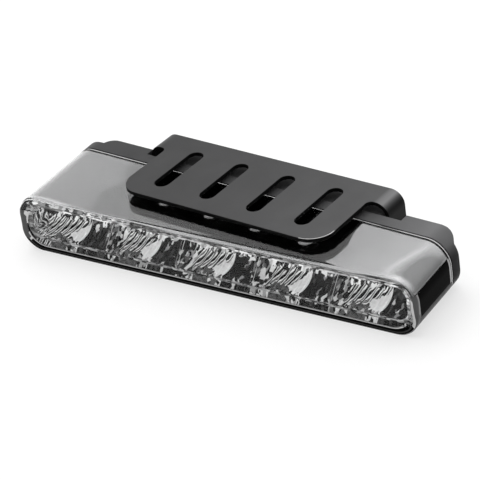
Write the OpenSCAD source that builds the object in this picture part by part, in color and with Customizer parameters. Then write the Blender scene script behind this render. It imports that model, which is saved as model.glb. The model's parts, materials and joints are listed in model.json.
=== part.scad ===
// Daytime running light: a slim clear-fronted lamp under a slotted steel mounting bracket.
// Origin: top face of the bracket, in the middle of its four slots.
// +X runs along the lamp, +Y points to the rear of the lamp and +Z points up.

/* [Lens body] */
// Width of the clear lens box
lens_w = 160; // [150:1:172]
// Height of the clear lens box
lens_h = 21.4; // [20.6:0.1:23]
// Corner radius of the lens box, seen from the front
lens_r = 8.4; // [6.5:0.1:9]
// Depth of the lens box along its middle
lens_depth = 31.3; // [29:0.1:36]
// Angle in plan by which the right end of the lens box sweeps back
lens_sweep = 4.6; // [2:0.1:5.4]
// Place of the lens middle along the seam
lens_x = -1.05; // [-3:0.05:1]
// Wall of the clear lens
lens_wall = 1.8; // [1.4:0.1:2.2]
// Rounding of the lens front edge
lens_edge_r = 1.6; // [0.8:0.1:2]

/* [Inner optics] */
// Gap between the lens and the silver bezel inside it
bezel_gap = 0.3; // [0.2:0.05:0.5]
// Wall of the silver bezel
bezel_wall = 1.1; // [0.8:0.1:1.4]
// Gap between the bezel and the reflector
reflector_gap = 0.2; // [0.1:0.05:0.4]
// Distance from the back of the reflector to the seam
reflector_setback = 10.2; // [9.8:0.1:11]
// Wall between two reflector cells
cell_wall = 1.2; // [0.8:0.1:1.6]
// Height of the cell walls over the bowl where they start and end
wall_lip = 0.4; // [0.3:0.1:0.8]
// Height of the rim above and below a cell
cell_rim = 0.9; // [0.7:0.1:1.2]
// Depth of the bowl middle behind the front of the reflector
bowl_inset = 0.8; // [0.4:0.1:1.2]
// Thickness left between a bowl and the cores behind it
bowl_floor = 1.8; // [1.4:0.1:2.4]
// Number of flutes in each bowl
flute_count = 7; // [5:1:8]
// Distance from the cell wall to the first flute
flute_start = 1.9; // [1.5:0.1:2.5]
// Spacing of the flutes
flute_pitch = 2.5; // [2.2:0.1:2.6]
// Radius of one flute
flute_r = 1.4; // [1.35:0.05:1.6]
// Depth of the cores in the back of the reflector
core_depth = 4; // [2:0.1:4.4]
// Wall of the sleeve around each light chip
core_wall = 1; // [0.8:0.1:1.2]

/* [Light board] */
// Thickness of the light board
board_t = 1.6; // [1.2:0.1:2]
// Space between the light board edge and the bezel
board_edge = 1.6; // [1.2:0.1:2.2]
// Thickness of the heat pad behind the light board
pad_t = 0.5; // [0.3:0.1:1]
// Side of one light chip
led_size = 3.5; // [3:0.1:4]
// Height of one light chip
led_t = 0.9; // [0.6:0.1:1.4]
// Hole in the reflector around a light chip
led_hole = 4.6; // [4.4:0.1:5.2]
// Thread diameter of the screws that hold the light board
board_screw_d = 2; // [1.6:0.1:2.2]
// Length of those screws under the head
board_screw_l = 3.6; // [3.2:0.1:4]
// Head diameter of those screws
board_head_d = 3.6; // [3.2:0.1:4]
// Head height of those screws
board_head_t = 1.3; // [1:0.1:1.5]

/* [Rear housing] */
// Seam between the lens and the housing, behind the middle of the bracket slots
seam_y = 2.6; // [2:0.1:3.2]
// Height of the bracket top face above the lamp
lamp_drop = 3.1; // [2.8:0.1:4]
// Thickness of the seal in the seam
seal_t = 0.6; // [0.4:0.1:0.8]
// Depth by which the seal lies below the outer skin
seal_inset = 0.35; // [0.2:0.05:0.6]
// Depth of the rim behind the seam
rim_depth = 5.1; // [4.8:0.1:6]
// Depth of the end wings behind the rim
wing_depth = 3.5; // [3:0.1:4]
// Distance from the left side of the lamp to the end of the left wing
wing_inset_left = 8.8; // [6:0.1:10]
// Distance from the right side of the lamp to the end of the right wing
wing_inset_right = 1.7; // [1:0.1:4]
// Radius of the rear corners of the end wings, seen from above
wing_r = 4.8; // [4:0.1:6]
// Room between the left ear of the bracket and the left wing
notch_gap_left = 0.3; // [0.1:0.1:1]
// Room between the right ear of the bracket and the right wing
notch_gap_right = 6.1; // [4:0.1:7]
// Depth of the driver box below the top and bottom faces of the lamp
box_inset = 1.4; // [1.2:0.1:1.6]
// Corner radius of the driver box
box_r = 2.5; // [1.5:0.1:3]
// Depth of the driver box behind the rim
box_depth = 14.3; // [13.8:0.1:16]
// Wall of the driver box
box_wall = 2; // [1.6:0.1:2.2]
// Width of a gap between two cooling fins
fin_gap = 2.4; // [2:0.1:3]
// Spacing of the cooling fins
fin_pitch = 4.4; // [4:0.1:5.4]
// Solid edge of a wing beside its outermost fin gaps
fin_edge = 2; // [1.6:0.1:2.6]
// Solid rail left above the fin gaps
fin_rail = 3; // [2.5:0.1:4]
// Thickness of the rim in front of the fin gaps
fin_root = 2.6; // [2:0.1:3]
// Room around a bolt head, cut into the wings
head_pocket_r = 5.2; // [5:0.1:5.6]

/* [Rear cover] */
// Distance from the ends of the driver box to the ends of the rear cover
cover_inset = 5.7; // [5.4:0.1:7]
// Thickness of the rear cover
cover_t = 2; // [1.6:0.1:2.6]
// Thickness of the cover seal
cover_seal_t = 0.5; // [0.3:0.1:0.8]
// Diameter of the cover screws
cover_screw_d = 2.9; // [2.5:0.1:3]
// Head diameter of the cover screws
cover_head_d = 5; // [4.6:0.1:5.2]
// Head height of the cover screws
cover_head_t = 1.6; // [1.2:0.1:2]
// Length of the cover screws under the head
cover_screw_l = 8; // [6:0.5:8]
// Width of the hexagon socket in a cover screw
cover_socket_d = 2.2; // [1.8:0.1:2.5]
// Distance from the cover edge to the screw axes
cover_screw_edge = 3.2; // [3:0.1:3.4]
// Radius of the bosses for the cover screws
screw_boss_r = 2.6; // [2.4:0.1:2.8]
// Place of the cable inlet from the middle
inlet_x = 30; // [20:1:34]
// Hole through the cable inlet grommet
inlet_d = 4.6; // [4:0.1:5.5]
// Diameter of the grommet flange
inlet_flange_d = 10; // [9.4:0.1:11]
// Thickness of a grommet flange
inlet_flange_t = 1.4; // [1:0.1:1.6]
// Wall of the grommet in the cover hole
inlet_wall = 1.2; // [1:0.1:1.3]
// Diameter of the breather vent
vent_d = 9; // [8.6:0.1:10]
// Height of the breather vent on the cover
vent_body_t = 1.2; // [0.8:0.1:1.4]
// Thickness of the breather cap
vent_cap_t = 1.2; // [0.8:0.1:1.4]
// Bore of the breather vent
vent_bore_d = 3; // [2:0.1:4]

/* [Driver board] */
// Room between each end of the driver board and the box wall
driver_side = 4.6; // [4.4:0.1:8]
// Room above and below the driver board
driver_edge = 1.1; // [0.6:0.1:1.4]
// Thickness of the driver board
driver_t = 1.6; // [1:0.1:2]
// Height of the posts under the driver board
post_h = 2.6; // [2:0.1:3]
// Radius of those posts
post_r = 2.2; // [1.8:0.1:2.6]
// Distance from the end of the driver board to its screws
post_edge = 4; // [3:0.1:5]
// Diameter of the driver board screws
driver_screw_d = 2; // [1.6:0.1:2.2]
// Length of those screws under the head
driver_screw_l = 4; // [3:0.1:4.4]
// Diameter of the inductor
inductor_d = 9; // [7:0.1:10]
// Height of the inductor
inductor_t = 4.5; // [3:0.1:5]
// Thickness of the flanges at both ends of the inductor
inductor_flange_t = 1; // [0.6:0.1:1.2]
// Place of the inductor from the middle
inductor_x = 2; // [1:0.5:3]
// Diameter of a capacitor
capacitor_d = 6.3; // [5:0.1:7]
// Height of a capacitor
capacitor_t = 5.2; // [4:0.1:5.4]
// Places of the two capacitors from the middle
capacitor_left_x = -11; // [-13:0.5:-9]
capacitor_right_x = 13; // [11.5:0.5:14]
// Place of the driver chip from the middle
chip_x = -24; // [-26:0.5:-20]
// Place of the cable terminal from the middle
terminal_x = 23; // [21:0.5:25]
// Width of the header between the two boards
header_w = 7; // [5:0.1:8]
// Height of the header between the two boards
header_h = 4; // [3:0.1:5]
// Room around that header
header_gap = 0.4; // [0.2:0.1:0.6]
// Place of that header, as a share of the cell spacing from the middle
header_share = -0.28; // [-0.32:0.01:-0.2]

/* [Mounting bracket] */
// Width of the slotted plate
plate_w = 87; // [84:0.5:90]
// Distance from the middle of the slots to the front edge of the plate
plate_front = 19; // [17:0.1:21]
// Radius of the front corners of the plate
plate_r = 8.6; // [6:0.1:10]
// Sheet thickness of the bracket
sheet_t = 1.5; // [1.2:0.1:1.6]
// Distance from the middle of the slots to the rear edge of the bracket
strip_rear = 19.5; // [19.2:0.1:21]
// Width of the rear strip that carries the ears
strip_w = 9.8; // [9.4:0.1:10.2]
// Outer radius of the bend at each ear
bend_r = 5; // [4:0.1:5.4]
// Distance between the outer faces of the ears
ear_span = 102.4; // [101:0.1:102.6]
// Inner radius where the ears leave the plate
relief_r = 2; // [1:0.1:2.6]
// Number of slots
slot_count = 4; // [2:1:4]
// Spacing of the slots
slot_pitch = 20; // [14:0.5:21]
// Width of a slot
slot_w = 5.9; // [5.2:0.1:7]
// Length of a slot
slot_l = 24.6; // [20:0.1:26]

/* [Bracket bolts] */
// Thread diameter of the bracket bolts
bolt_d = 4; // [3:0.1:4]
// Width across the flats of the bolt heads
bolt_flats = 7; // [6:0.1:7]
// Height of the bolt heads
bolt_head_t = 2.8; // [2:0.1:3.2]
// Diameter of the washers
washer_d = 8.8; // [8:0.1:9]
// Thickness of the washers
washer_t = 0.8; // [0.6:0.1:1]
// Outer diameter of the brass inserts
insert_d = 5.6; // [5.2:0.1:5.8]
// Length of the brass inserts
insert_l = 6; // [5:0.1:6.2]
// Distance from the tip of a bolt to the inner end of its insert
bolt_tip_gap = 0.5; // [0.2:0.1:1.5]
// Clearance of a screw or bolt in a plain hole
hole_gap = 0.3; // [0.2:0.05:0.5]

/* [Hidden] */
$fn = 64;
eps = 0.01;
over = 1;
cell_count = 5;
// Heights and depths that the pieces share
lamp_top = -lamp_drop;
lamp_mid = lamp_top - lens_h / 2;
lens_back = seam_y - seal_t / 2;
rim_front = seam_y + seal_t / 2;
rim_back = seam_y + rim_depth;
wing_back = rim_back + wing_depth;
box_back = rim_back + box_depth;
cover_front = box_back + cover_seal_t;
cover_back = cover_front + cover_t;
// Inner optics, seen from the front
bezel_inset = lens_wall + bezel_gap;
tube_inset = bezel_inset + bezel_wall;
reflector_inset = tube_inset + reflector_gap;
optics_front = -lens_depth + lens_wall + bezel_gap;
reflector_back = -reflector_setback;
reflector_depth = reflector_back - optics_front;
cell_area_w = lens_w - 2 * reflector_inset - 2 * cell_wall;
cell_pitch = (cell_area_w + cell_wall) / cell_count;
cell_open_w = cell_pitch - cell_wall;
cell_open_h = lens_h - 2 * reflector_inset - 2 * cell_rim;
cell_corner_r = lens_r - reflector_inset - cell_rim;
bowl_y = optics_front + bowl_inset;
bowl_r = reflector_depth - bowl_inset - core_depth - bowl_floor;
led_sleeve = led_hole + 2 * core_wall;
// Light board, heat pad and the platform that carries them
board_inset = tube_inset + board_edge;
board_w = lens_w - 2 * board_inset;
board_h = lens_h - 2 * board_inset;
board_r = 2;
small_r = 1;
pad_front = reflector_back + board_t;
platform_front = pad_front + pad_t;
header_x = header_share * cell_pitch;
// Driver box and what it holds
ear_outer = ear_span / 2;
box_w = ear_span - 2 * sheet_t;
box_h = lens_h - 2 * box_inset;
cover_w = box_w - 2 * cover_inset;
cavity_w = cover_w - 2 * box_wall;
cavity_h = box_h - 2 * box_wall;
floor_y = rim_back + box_wall;
cover_screw_x = cover_w / 2 - cover_screw_edge;
cover_screw_z = box_h / 2 - cover_screw_edge;
inlet_hole_d = inlet_d + 2 * inlet_wall;
driver_l = cavity_w - 2 * driver_side;
driver_h = cavity_h - 2 * driver_edge;
driver_front = floor_y + post_h;
driver_back = driver_front + driver_t;
post_x = driver_l / 2 - post_edge;
capacitor_base_w = capacitor_d + 0.3;
chip_size = [6, 5, 1.6];
terminal_size = [8, 6, 4];
terminal_port = [2, 3];
// Bracket
plate_side = plate_w / 2;
strip_front = strip_rear - strip_w;
bend_start = ear_outer - bend_r;
ear_y = (strip_front + strip_rear) / 2;
ear_z = lamp_mid;
ear_drop = -ear_z - bend_r;
ear_r = strip_w / 2;
insert_end = box_w / 2 - insert_l;
shoulder_back = min(strip_rear, box_back);
// End wings and the notch between them
wing_left = lens_x - lens_w / 2 + wing_inset_left;
wing_right = lens_x + lens_w / 2 - wing_inset_right;
notch_left = -ear_outer - notch_gap_left;
notch_right = ear_outer + notch_gap_right;

// Rounded rectangle, centred
module round_rect(w, h, r) {
    union() {
        square([w, h - 2 * r], center = true);
        square([w - 2 * r, h], center = true);
        for (x = [-1, 1], z = [-1, 1]) translate([x * (w / 2 - r), z * (h / 2 - r)]) circle(r);
    }
}

// A rounded rectangle seen from the front, drawn out from y0 to y1
module front_prism(w, h, r, y0, y1) {
    translate([0, y1, 0]) rotate([90, 0, 0]) linear_extrude(y1 - y0) round_rect(w, h, r);
}

// The place of the lens: swept back in plan, with its own y = 0 on the seam
module in_lens() {
    translate([lens_x, seam_y, lamp_mid]) rotate([0, 0, lens_sweep]) children();
}

// Everything in front of a plane across the lamp
module in_front_of(y) {
    intersection() {
        children();
        translate([-lens_w, y - 3 * lens_depth, -lens_w]) cube([2 * lens_w, 3 * lens_depth, 2 * lens_w]);
    }
}

// Everything between two planes across the lamp
module between(y0, y1) {
    intersection() {
        children();
        translate([-lens_w, y0, -lens_w]) cube([2 * lens_w, y1 - y0, 2 * lens_w]);
    }
}

// Half of a section through the lens, across and in depth, with its softened front corner
module soft_half(w) {
    union() {
        translate([0, -lens_depth + lens_edge_r]) square([w, 2 * lens_depth - lens_edge_r]);
        translate([0, -lens_depth]) square([w - lens_edge_r, 2 * lens_depth]);
        translate([w - lens_edge_r, -lens_depth + lens_edge_r]) circle(lens_edge_r);
    }
}

module soft_section(w) {
    union() {
        soft_half(w / 2);
        mirror([1, 0]) soft_half(w / 2);
    }
}

// Outer form of the lens with its softened front edge: two crossed slabs and four round corners
module lens_form() {
    corner_x = lens_w / 2 - lens_r;
    corner_z = lens_h / 2 - lens_r;
    union() {
        translate([0, 0, -corner_z]) linear_extrude(2 * corner_z) soft_section(lens_w);
        rotate([0, 90, 0]) translate([0, 0, -corner_x]) linear_extrude(2 * corner_x) soft_section(lens_h);
        for (x = [-1, 1], z = [-1, 1]) translate([x * corner_x, 0, z * corner_z])
            rotate([-90, 0, 0]) rotate_extrude() soft_half(lens_r);
    }
}

// Plain tube of a rounded rectangle in the lens place
module lens_tube(inset, wall, y0, y1) {
    difference() {
        front_prism(lens_w - 2 * inset, lens_h - 2 * inset, lens_r - inset, y0, y1);
        front_prism(lens_w - 2 * (inset + wall), lens_h - 2 * (inset + wall), lens_r - inset - wall,
                    y0 - over, y1 + over);
    }
}

module outer_lens() {
    color([0.9, 0.92, 0.94, 0.35]) in_front_of(lens_back) in_lens() difference() {
        lens_form();
        front_prism(lens_w - 2 * lens_wall, lens_h - 2 * lens_wall, lens_r - lens_wall,
                    -lens_depth + lens_wall, lens_depth + over);
    }
}

module bezel() {
    color("silver") in_front_of(lens_back) in_lens()
        lens_tube(bezel_inset, bezel_wall, optics_front, lens_depth);
}

function cell_x(i) = (i - (cell_count - 1) / 2) * cell_pitch;
function flute_x(j) = -cell_open_w / 2 + flute_start + j * flute_pitch;

// The bowl of one cell: a round trough across the cell, fluted from its left wall to the edge
// where the plain part begins
module cell_bowl() {
    translate([0, bowl_y, cell_open_h / 2]) rotate([0, 90, 0]) {
        translate([0, 0, -cell_open_w / 2]) cylinder(h = cell_open_w, r = bowl_r);
        for (j = [0 : flute_count - 1]) rotate_extrude()
            translate([bowl_r - flute_r / 2, flute_x(j)]) circle(flute_r, $fn = 24);
    }
}

module reflector_cells() {
    intersection() {
        union() {
            for (i = [0 : cell_count - 1]) translate([cell_x(i), 0, 0]) {
                intersection() {
                    cell_bowl();
                    translate([-cell_open_w / 2, optics_front - over, -cell_open_h / 2])
                        cube([cell_open_w, reflector_depth + over, cell_open_h]);
                }
                translate([-led_hole / 2, bowl_y, -led_hole / 2])
                    cube([led_hole, reflector_depth, led_hole]);
            }
            // the walls between the cells slope up and back from the lower front edge
            rotate([90, 0, 90]) translate([0, 0, -cell_area_w / 2]) linear_extrude(cell_area_w)
                polygon([[optics_front - over, cell_open_h / 2 - bowl_r + wall_lip],
                         [bowl_y, cell_open_h / 2 - bowl_r + wall_lip],
                         [bowl_y + bowl_r - wall_lip, cell_open_h / 2],
                         [optics_front - over, cell_open_h / 2]]);
        }
        front_prism(cell_area_w, cell_open_h, cell_corner_r, optics_front - over, reflector_back + over);
    }
}

function board_screw_x(k) = (k - (cell_count - 2) / 2) * cell_pitch;

// Places of the light board screws, between the cells
module board_screw_places(y) {
    for (k = [0 : cell_count - 2]) translate([board_screw_x(k), y, 0]) rotate([-90, 0, 0]) children();
}

module reflector() {
    color("silver") in_lens() difference() {
        front_prism(lens_w - 2 * reflector_inset, lens_h - 2 * reflector_inset, lens_r - reflector_inset,
                    optics_front, reflector_back);
        reflector_cells();
        // cored from behind, with a sleeve left around each light chip
        for (i = [0 : cell_count - 1], side = [-1, 1]) translate([
            cell_x(i) + side * (led_sleeve + cell_open_w) / 4, reflector_back - core_depth / 2, 0])
            cube([(cell_open_w - led_sleeve) / 2, core_depth + eps, cell_open_h], center = true);
        // room for the heads of the board screws
        board_screw_places(reflector_back - board_head_t - hole_gap)
            cylinder(h = board_head_t + hole_gap + over, d = board_head_d + 2 * hole_gap, $fn = 32);
    }
}

module led_board() {
    color("white") in_lens() difference() {
        front_prism(board_w, board_h, board_r, reflector_back, pad_front);
        board_screw_places(reflector_back - over)
            cylinder(h = board_t + 2 * over, d = board_screw_d + hole_gap, $fn = 32);
    }
}

// Each chip stands in its reflector sleeve on the board
module led(i) {
    color("khaki") in_lens() translate([cell_x(i), reflector_back - led_t / 2, 0])
        cube([led_size, led_t, led_size], center = true);
}

// Screws between the cells, with their heads in the cored back of the reflector
module board_screws() {
    color("silver") in_lens() board_screw_places(reflector_back) {
        cylinder(h = board_screw_l, d = board_screw_d, $fn = 32);
        translate([0, 0, -board_head_t]) cylinder(h = board_head_t, d = board_head_d, $fn = 32);
    }
}

module heat_pad() {
    color("lightgrey") difference() {
        in_lens() difference() {
            front_prism(board_w, board_h, board_r, pad_front, platform_front);
            board_screw_places(pad_front - over)
                cylinder(h = pad_t + 2 * over, d = board_screw_d + hole_gap, $fn = 32);
        }
        header_passage();
    }
}

// Passage from the light board to the driver board, in the housing's own directions
module header_passage() {
    translate([header_x, 0, lamp_mid])
        front_prism(header_w + 2 * header_gap, header_h + 2 * header_gap, header_gap,
                    -lens_depth, floor_y + eps);
}

// Seal that lies in the seam, a little below the outer skin
module lens_seal() {
    color([0.2, 0.2, 0.2]) between(lens_back, rim_front) in_lens()
        lens_tube(seal_inset, tube_inset - seal_inset, -lens_depth, lens_depth);
}

// Gaps between the cooling fins from x0 to x1, open to the back and to the bottom
module fin_gaps(x0, x1) {
    count = floor((x1 - x0 - 2 * fin_edge + fin_pitch - fin_gap) / fin_pitch);
    first = (x0 + x1 - (count - 1) * fin_pitch - fin_gap) / 2;
    for (i = [0 : count - 1])
        translate([first + i * fin_pitch, rim_front + fin_root, lamp_top - lens_h - over])
            cube([fin_gap, rim_depth + wing_depth, lens_h + over - fin_rail]);
}

// Plan of the rim and of the two wings behind it, with the notch for the bracket between them
module rim_plan() {
    union() {
        translate([-lens_w, seam_y]) square([2 * lens_w, rim_depth]);
        difference() {
            union() {
                translate([wing_left + wing_r, seam_y])
                    square([wing_right - wing_left - 2 * wing_r, wing_back - seam_y]);
                for (x = [wing_left + wing_r, wing_right - wing_r])
                    translate([x, wing_back - wing_r]) circle(wing_r);
            }
            translate([notch_left, rim_back]) square([notch_right - notch_left, wing_depth + over]);
        }
    }
}

// Rim and wings, which carry on the outline of the lens, with the gaps between the cooling fins
module rim_and_wings() {
    difference() {
        intersection() {
            between(rim_front, wing_back + over) in_lens()
                front_prism(lens_w, lens_h, lens_r, -lens_depth, lens_depth);
            translate([0, 0, lamp_top - lens_h - over]) linear_extrude(lens_h + 2 * over) rim_plan();
        }
        fin_gaps(wing_left, notch_left);
        fin_gaps(notch_right, wing_right);
        // room for the bolt heads beside the ears
        translate([notch_left - head_pocket_r, ear_y, ear_z]) rotate([0, 90, 0])
            cylinder(h = notch_right - notch_left + 2 * head_pocket_r, r = head_pocket_r);
    }
}

module cover_screw_places() {
    for (x = [-1, 1], z = [-1, 1]) translate([x * cover_screw_x, 0, lamp_mid + z * cover_screw_z])
        rotate([-90, 0, 0]) children();
}

// Hollow of the driver box from y0 to y1, less the bosses of the cover screws
module driver_cavity(y0, y1) {
    difference() {
        translate([0, 0, lamp_mid]) front_prism(cavity_w, cavity_h, small_r, y0, y1);
        translate([0, y0 - over, 0]) cover_screw_places()
            cylinder(h = y1 - y0 + 2 * over, r = screw_boss_r, $fn = 32);
    }
}

module rear_housing() {
    color([0.33, 0.33, 0.34]) difference() {
        union() {
            rim_and_wings();
            // driver box, with solid shoulders between the ears for the inserts
            translate([0, 0, lamp_mid]) {
                front_prism(box_w, box_h, box_r, rim_back - eps, shoulder_back);
                front_prism(cover_w, box_h, box_r, rim_back - eps, box_back);
            }
            // platform for the light board, inside the bezel
            in_front_of(rim_front + eps) in_lens()
                front_prism(board_w, board_h, board_r, platform_front, lens_depth);
        }
        // cavity of the driver box, less the posts that stand in it
        difference() {
            driver_cavity(floor_y, box_back + over);
            for (side = [-1, 1]) translate([side * post_x, floor_y - eps, lamp_mid])
                rotate([-90, 0, 0]) cylinder(h = post_h + eps, r = post_r, $fn = 32);
        }
        translate([0, box_back - cover_screw_l, 0]) cover_screw_places()
            cylinder(h = cover_screw_l + over, d = cover_screw_d, $fn = 32);
        for (side = [-1, 1]) {
            translate([side * post_x, floor_y + post_h - driver_screw_l, lamp_mid]) rotate([-90, 0, 0])
                cylinder(h = driver_screw_l + over, d = driver_screw_d, $fn = 32);
            translate([side * (box_w / 2 + insert_end) / 2, ear_y, ear_z]) rotate([0, 90, 0])
                cylinder(h = insert_l + eps, d = insert_d, center = true, $fn = 48);
        }
        in_lens() board_screw_places(platform_front - eps)
            cylinder(h = board_screw_l, d = board_screw_d, $fn = 32);
        header_passage();
    }
}

module cover_seal() {
    color([0.15, 0.15, 0.15]) difference() {
        translate([0, 0, lamp_mid]) front_prism(cover_w, box_h, box_r, box_back, cover_front);
        driver_cavity(box_back - over, cover_front + over);
        translate([0, box_back - over, 0]) cover_screw_places()
            cylinder(h = cover_seal_t + 2 * over, d = cover_screw_d + hole_gap, $fn = 32);
    }
}

module rear_cover() {
    color([0.3, 0.3, 0.31]) difference() {
        translate([0, 0, lamp_mid]) front_prism(cover_w, box_h, box_r, cover_front, cover_back);
        translate([0, cover_front - over, 0]) cover_screw_places()
            cylinder(h = cover_t + 2 * over, d = cover_screw_d + hole_gap, $fn = 32);
        for (side = [-1, 1]) translate([side * inlet_x, cover_front - over, lamp_mid])
            rotate([-90, 0, 0]) cylinder(h = cover_t + 2 * over, d = inlet_hole_d, $fn = 48);
    }
}

module cover_screws() {
    color("silver") translate([0, cover_back, 0]) cover_screw_places() {
        translate([0, 0, -cover_screw_l]) cylinder(h = cover_screw_l, d = cover_screw_d, $fn = 32);
        difference() {
            cylinder(h = cover_head_t, d = cover_head_d, $fn = 32);
            translate([0, 0, cover_head_t / 2]) cylinder(h = cover_head_t, d = cover_socket_d, $fn = 6);
        }
    }
}

// Rubber grommet of the cable inlet: a neck in the cover with a flange on both sides
module cable_grommet() {
    color([0.08, 0.08, 0.08]) translate([inlet_x, 0, lamp_mid]) difference() {
        union() {
            translate([0, cover_front - inlet_flange_t, 0]) rotate([-90, 0, 0])
                cylinder(h = inlet_flange_t, d = inlet_flange_d - inlet_wall);
            translate([0, cover_front - eps, 0]) rotate([-90, 0, 0])
                cylinder(h = cover_t + 2 * eps, d = inlet_hole_d);
            translate([0, cover_back, 0]) rotate([-90, 0, 0])
                cylinder(h = inlet_flange_t, d = inlet_flange_d);
        }
        translate([0, cover_front - inlet_flange_t - over, 0]) rotate([-90, 0, 0])
            cylinder(h = cover_t + 2 * inlet_flange_t + 2 * over, d = inlet_d);
    }
}

module vent_body() {
    color([0.12, 0.12, 0.12]) translate([-inlet_x, cover_front, lamp_mid]) rotate([-90, 0, 0])
        difference() {
            union() {
                cylinder(h = cover_t + eps, d = inlet_hole_d);
                translate([0, 0, cover_t]) cylinder(h = vent_body_t, d = vent_d);
            }
            translate([0, 0, -over]) cylinder(h = cover_t + vent_body_t + 2 * over, d = vent_bore_d);
        }
}

module vent_cap() {
    color([0.18, 0.18, 0.18]) translate([-inlet_x, cover_back + vent_body_t, lamp_mid])
        rotate([-90, 0, 0]) difference() {
            cylinder(h = vent_cap_t, d = vent_d - 1);
            for (a = [0 : 60 : 300]) rotate([0, 0, a]) translate([vent_d / 3, 0, -over])
                cylinder(h = vent_cap_t + 2 * over, d = 1, $fn = 24);
        }
}

module driver_board() {
    color([0.1, 0.35, 0.2]) translate([0, 0, lamp_mid]) difference() {
        front_prism(driver_l, driver_h, small_r, driver_front, driver_back);
        for (side = [-1, 1]) translate([side * post_x, driver_front - over, 0]) rotate([-90, 0, 0])
            cylinder(h = driver_t + 2 * over, d = driver_screw_d + hole_gap, $fn = 32);
    }
}

module driver_screws() {
    color("silver") for (side = [-1, 1]) translate([side * post_x, driver_back, lamp_mid])
        rotate([-90, 0, 0]) {
            translate([0, 0, -driver_screw_l]) cylinder(h = driver_screw_l, d = driver_screw_d, $fn = 32);
            cylinder(h = board_head_t, d = board_head_d, $fn = 32);
        }
}

module on_driver(x) {
    translate([x, driver_back, lamp_mid]) rotate([-90, 0, 0]) children();
}

module driver_inductor() {
    // drum core: two flanges with the winding between them
    color([0.25, 0.25, 0.27]) on_driver(inductor_x) union() {
        cylinder(h = inductor_flange_t, d = inductor_d);
        cylinder(h = inductor_t, d = inductor_d - 2 * inductor_flange_t);
        translate([0, 0, inductor_t - inductor_flange_t]) cylinder(h = inductor_flange_t, d = inductor_d);
    }
}

module driver_capacitor(x) {
    color("silver") on_driver(x) union() {
        translate([0, 0, small_r / 2]) cube([capacitor_base_w, capacitor_base_w, small_r], center = true);
        cylinder(h = capacitor_t, d = capacitor_d);
    }
}

module driver_chip() {
    color([0.1, 0.1, 0.1]) on_driver(chip_x) translate([0, 0, chip_size[2] / 2])
        cube(chip_size, center = true);
}

module cable_terminal() {
    color("white") on_driver(terminal_x) difference() {
        translate([0, 0, terminal_size[2] / 2]) cube(terminal_size, center = true);
        for (s = [-1, 1]) translate([s * terminal_size[0] / 4, 0, terminal_size[2]])
            cube([terminal_port[0], terminal_port[1], terminal_size[2]], center = true);
    }
}

// Plastic header that joins the light board to the driver board
module link_header() {
    color([0.1, 0.1, 0.1]) intersection() {
        translate([header_x, 0, lamp_mid])
            front_prism(header_w, header_h, header_gap, -lens_depth, driver_front);
        in_lens() translate([-lens_w, pad_front, -lens_w]) cube([2 * lens_w, 2 * lens_depth, 2 * lens_w]);
    }
}

module slot_shape() {
    union() {
        square([slot_w, slot_l - slot_w], center = true);
        for (s = [-1, 1]) translate([0, s * (slot_l - slot_w) / 2]) circle(d = slot_w);
    }
}

// Flat blank of the slotted plate and of the rear strip, up to the bends
module bracket_blank() {
    difference() {
        union() {
            translate([-plate_side, -plate_front + plate_r])
                square([plate_w, plate_front - plate_r + strip_rear]);
            translate([-plate_side + plate_r, -plate_front]) square([plate_w - 2 * plate_r, plate_r + over]);
            for (s = [-1, 1]) translate([s * (plate_side - plate_r), -plate_front + plate_r])
                circle(plate_r);
            translate([-bend_start, strip_front]) square([2 * bend_start, strip_w]);
            // rounded inner corners where the strip leaves the plate
            for (side = [0, 1]) mirror([side, 0]) difference() {
                translate([plate_side - over, strip_front - relief_r]) square(relief_r + over);
                translate([plate_side + relief_r, strip_front - relief_r]) circle(relief_r);
            }
        }
        for (i = [0 : slot_count - 1]) translate([(i - (slot_count - 1) / 2) * slot_pitch, 0]) slot_shape();
    }
}

// One ear: the bend and the flat tongue with its bolt hole
module bracket_ear() {
    translate([bend_start, 0, -bend_r]) {
        translate([0, strip_rear, 0]) rotate([90, 0, 0]) rotate_extrude(angle = 90)
            translate([bend_r - sheet_t, 0]) square([sheet_t, strip_w]);
        translate([bend_r - sheet_t, 0, 0]) difference() {
            union() {
                translate([0, strip_front, -ear_drop]) cube([sheet_t, strip_w, ear_drop]);
                translate([0, ear_y, -ear_drop]) rotate([0, 90, 0]) cylinder(h = sheet_t, r = ear_r);
            }
            translate([-over, ear_y, -ear_drop]) rotate([0, 90, 0])
                cylinder(h = sheet_t + 2 * over, d = bolt_d + hole_gap, $fn = 48);
        }
    }
}

module mounting_bracket() {
    color([0.36, 0.36, 0.37]) union() {
        translate([0, 0, -sheet_t]) linear_extrude(sheet_t) bracket_blank();
        bracket_ear();
        mirror([1, 0, 0]) bracket_ear();
    }
}

// Places along the bolt axes, measured outward from the middle of the lamp
module on_bolt(side, x) {
    translate([side * x, ear_y, ear_z]) rotate([0, side * 90, 0]) children();
}

module insert(side) {
    color("goldenrod") on_bolt(side, insert_end) difference() {
        cylinder(h = insert_l, d = insert_d, $fn = 48);
        translate([0, 0, -over]) cylinder(h = insert_l + 2 * over, d = bolt_d, $fn = 48);
    }
}

module washer(side) {
    color("silver") on_bolt(side, ear_outer) difference() {
        cylinder(h = washer_t, d = washer_d);
        translate([0, 0, -over]) cylinder(h = washer_t + 2 * over, d = bolt_d + hole_gap, $fn = 48);
    }
}

module bolt(side) {
    color("silver") on_bolt(side, ear_outer + washer_t) union() {
        cylinder(h = bolt_head_t, d = bolt_flats / cos(30), $fn = 6);
        translate([0, 0, insert_end + bolt_tip_gap - ear_outer - washer_t])
            cylinder(h = ear_outer + washer_t - insert_end - bolt_tip_gap + eps, d = bolt_d, $fn = 48);
    }
}

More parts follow.
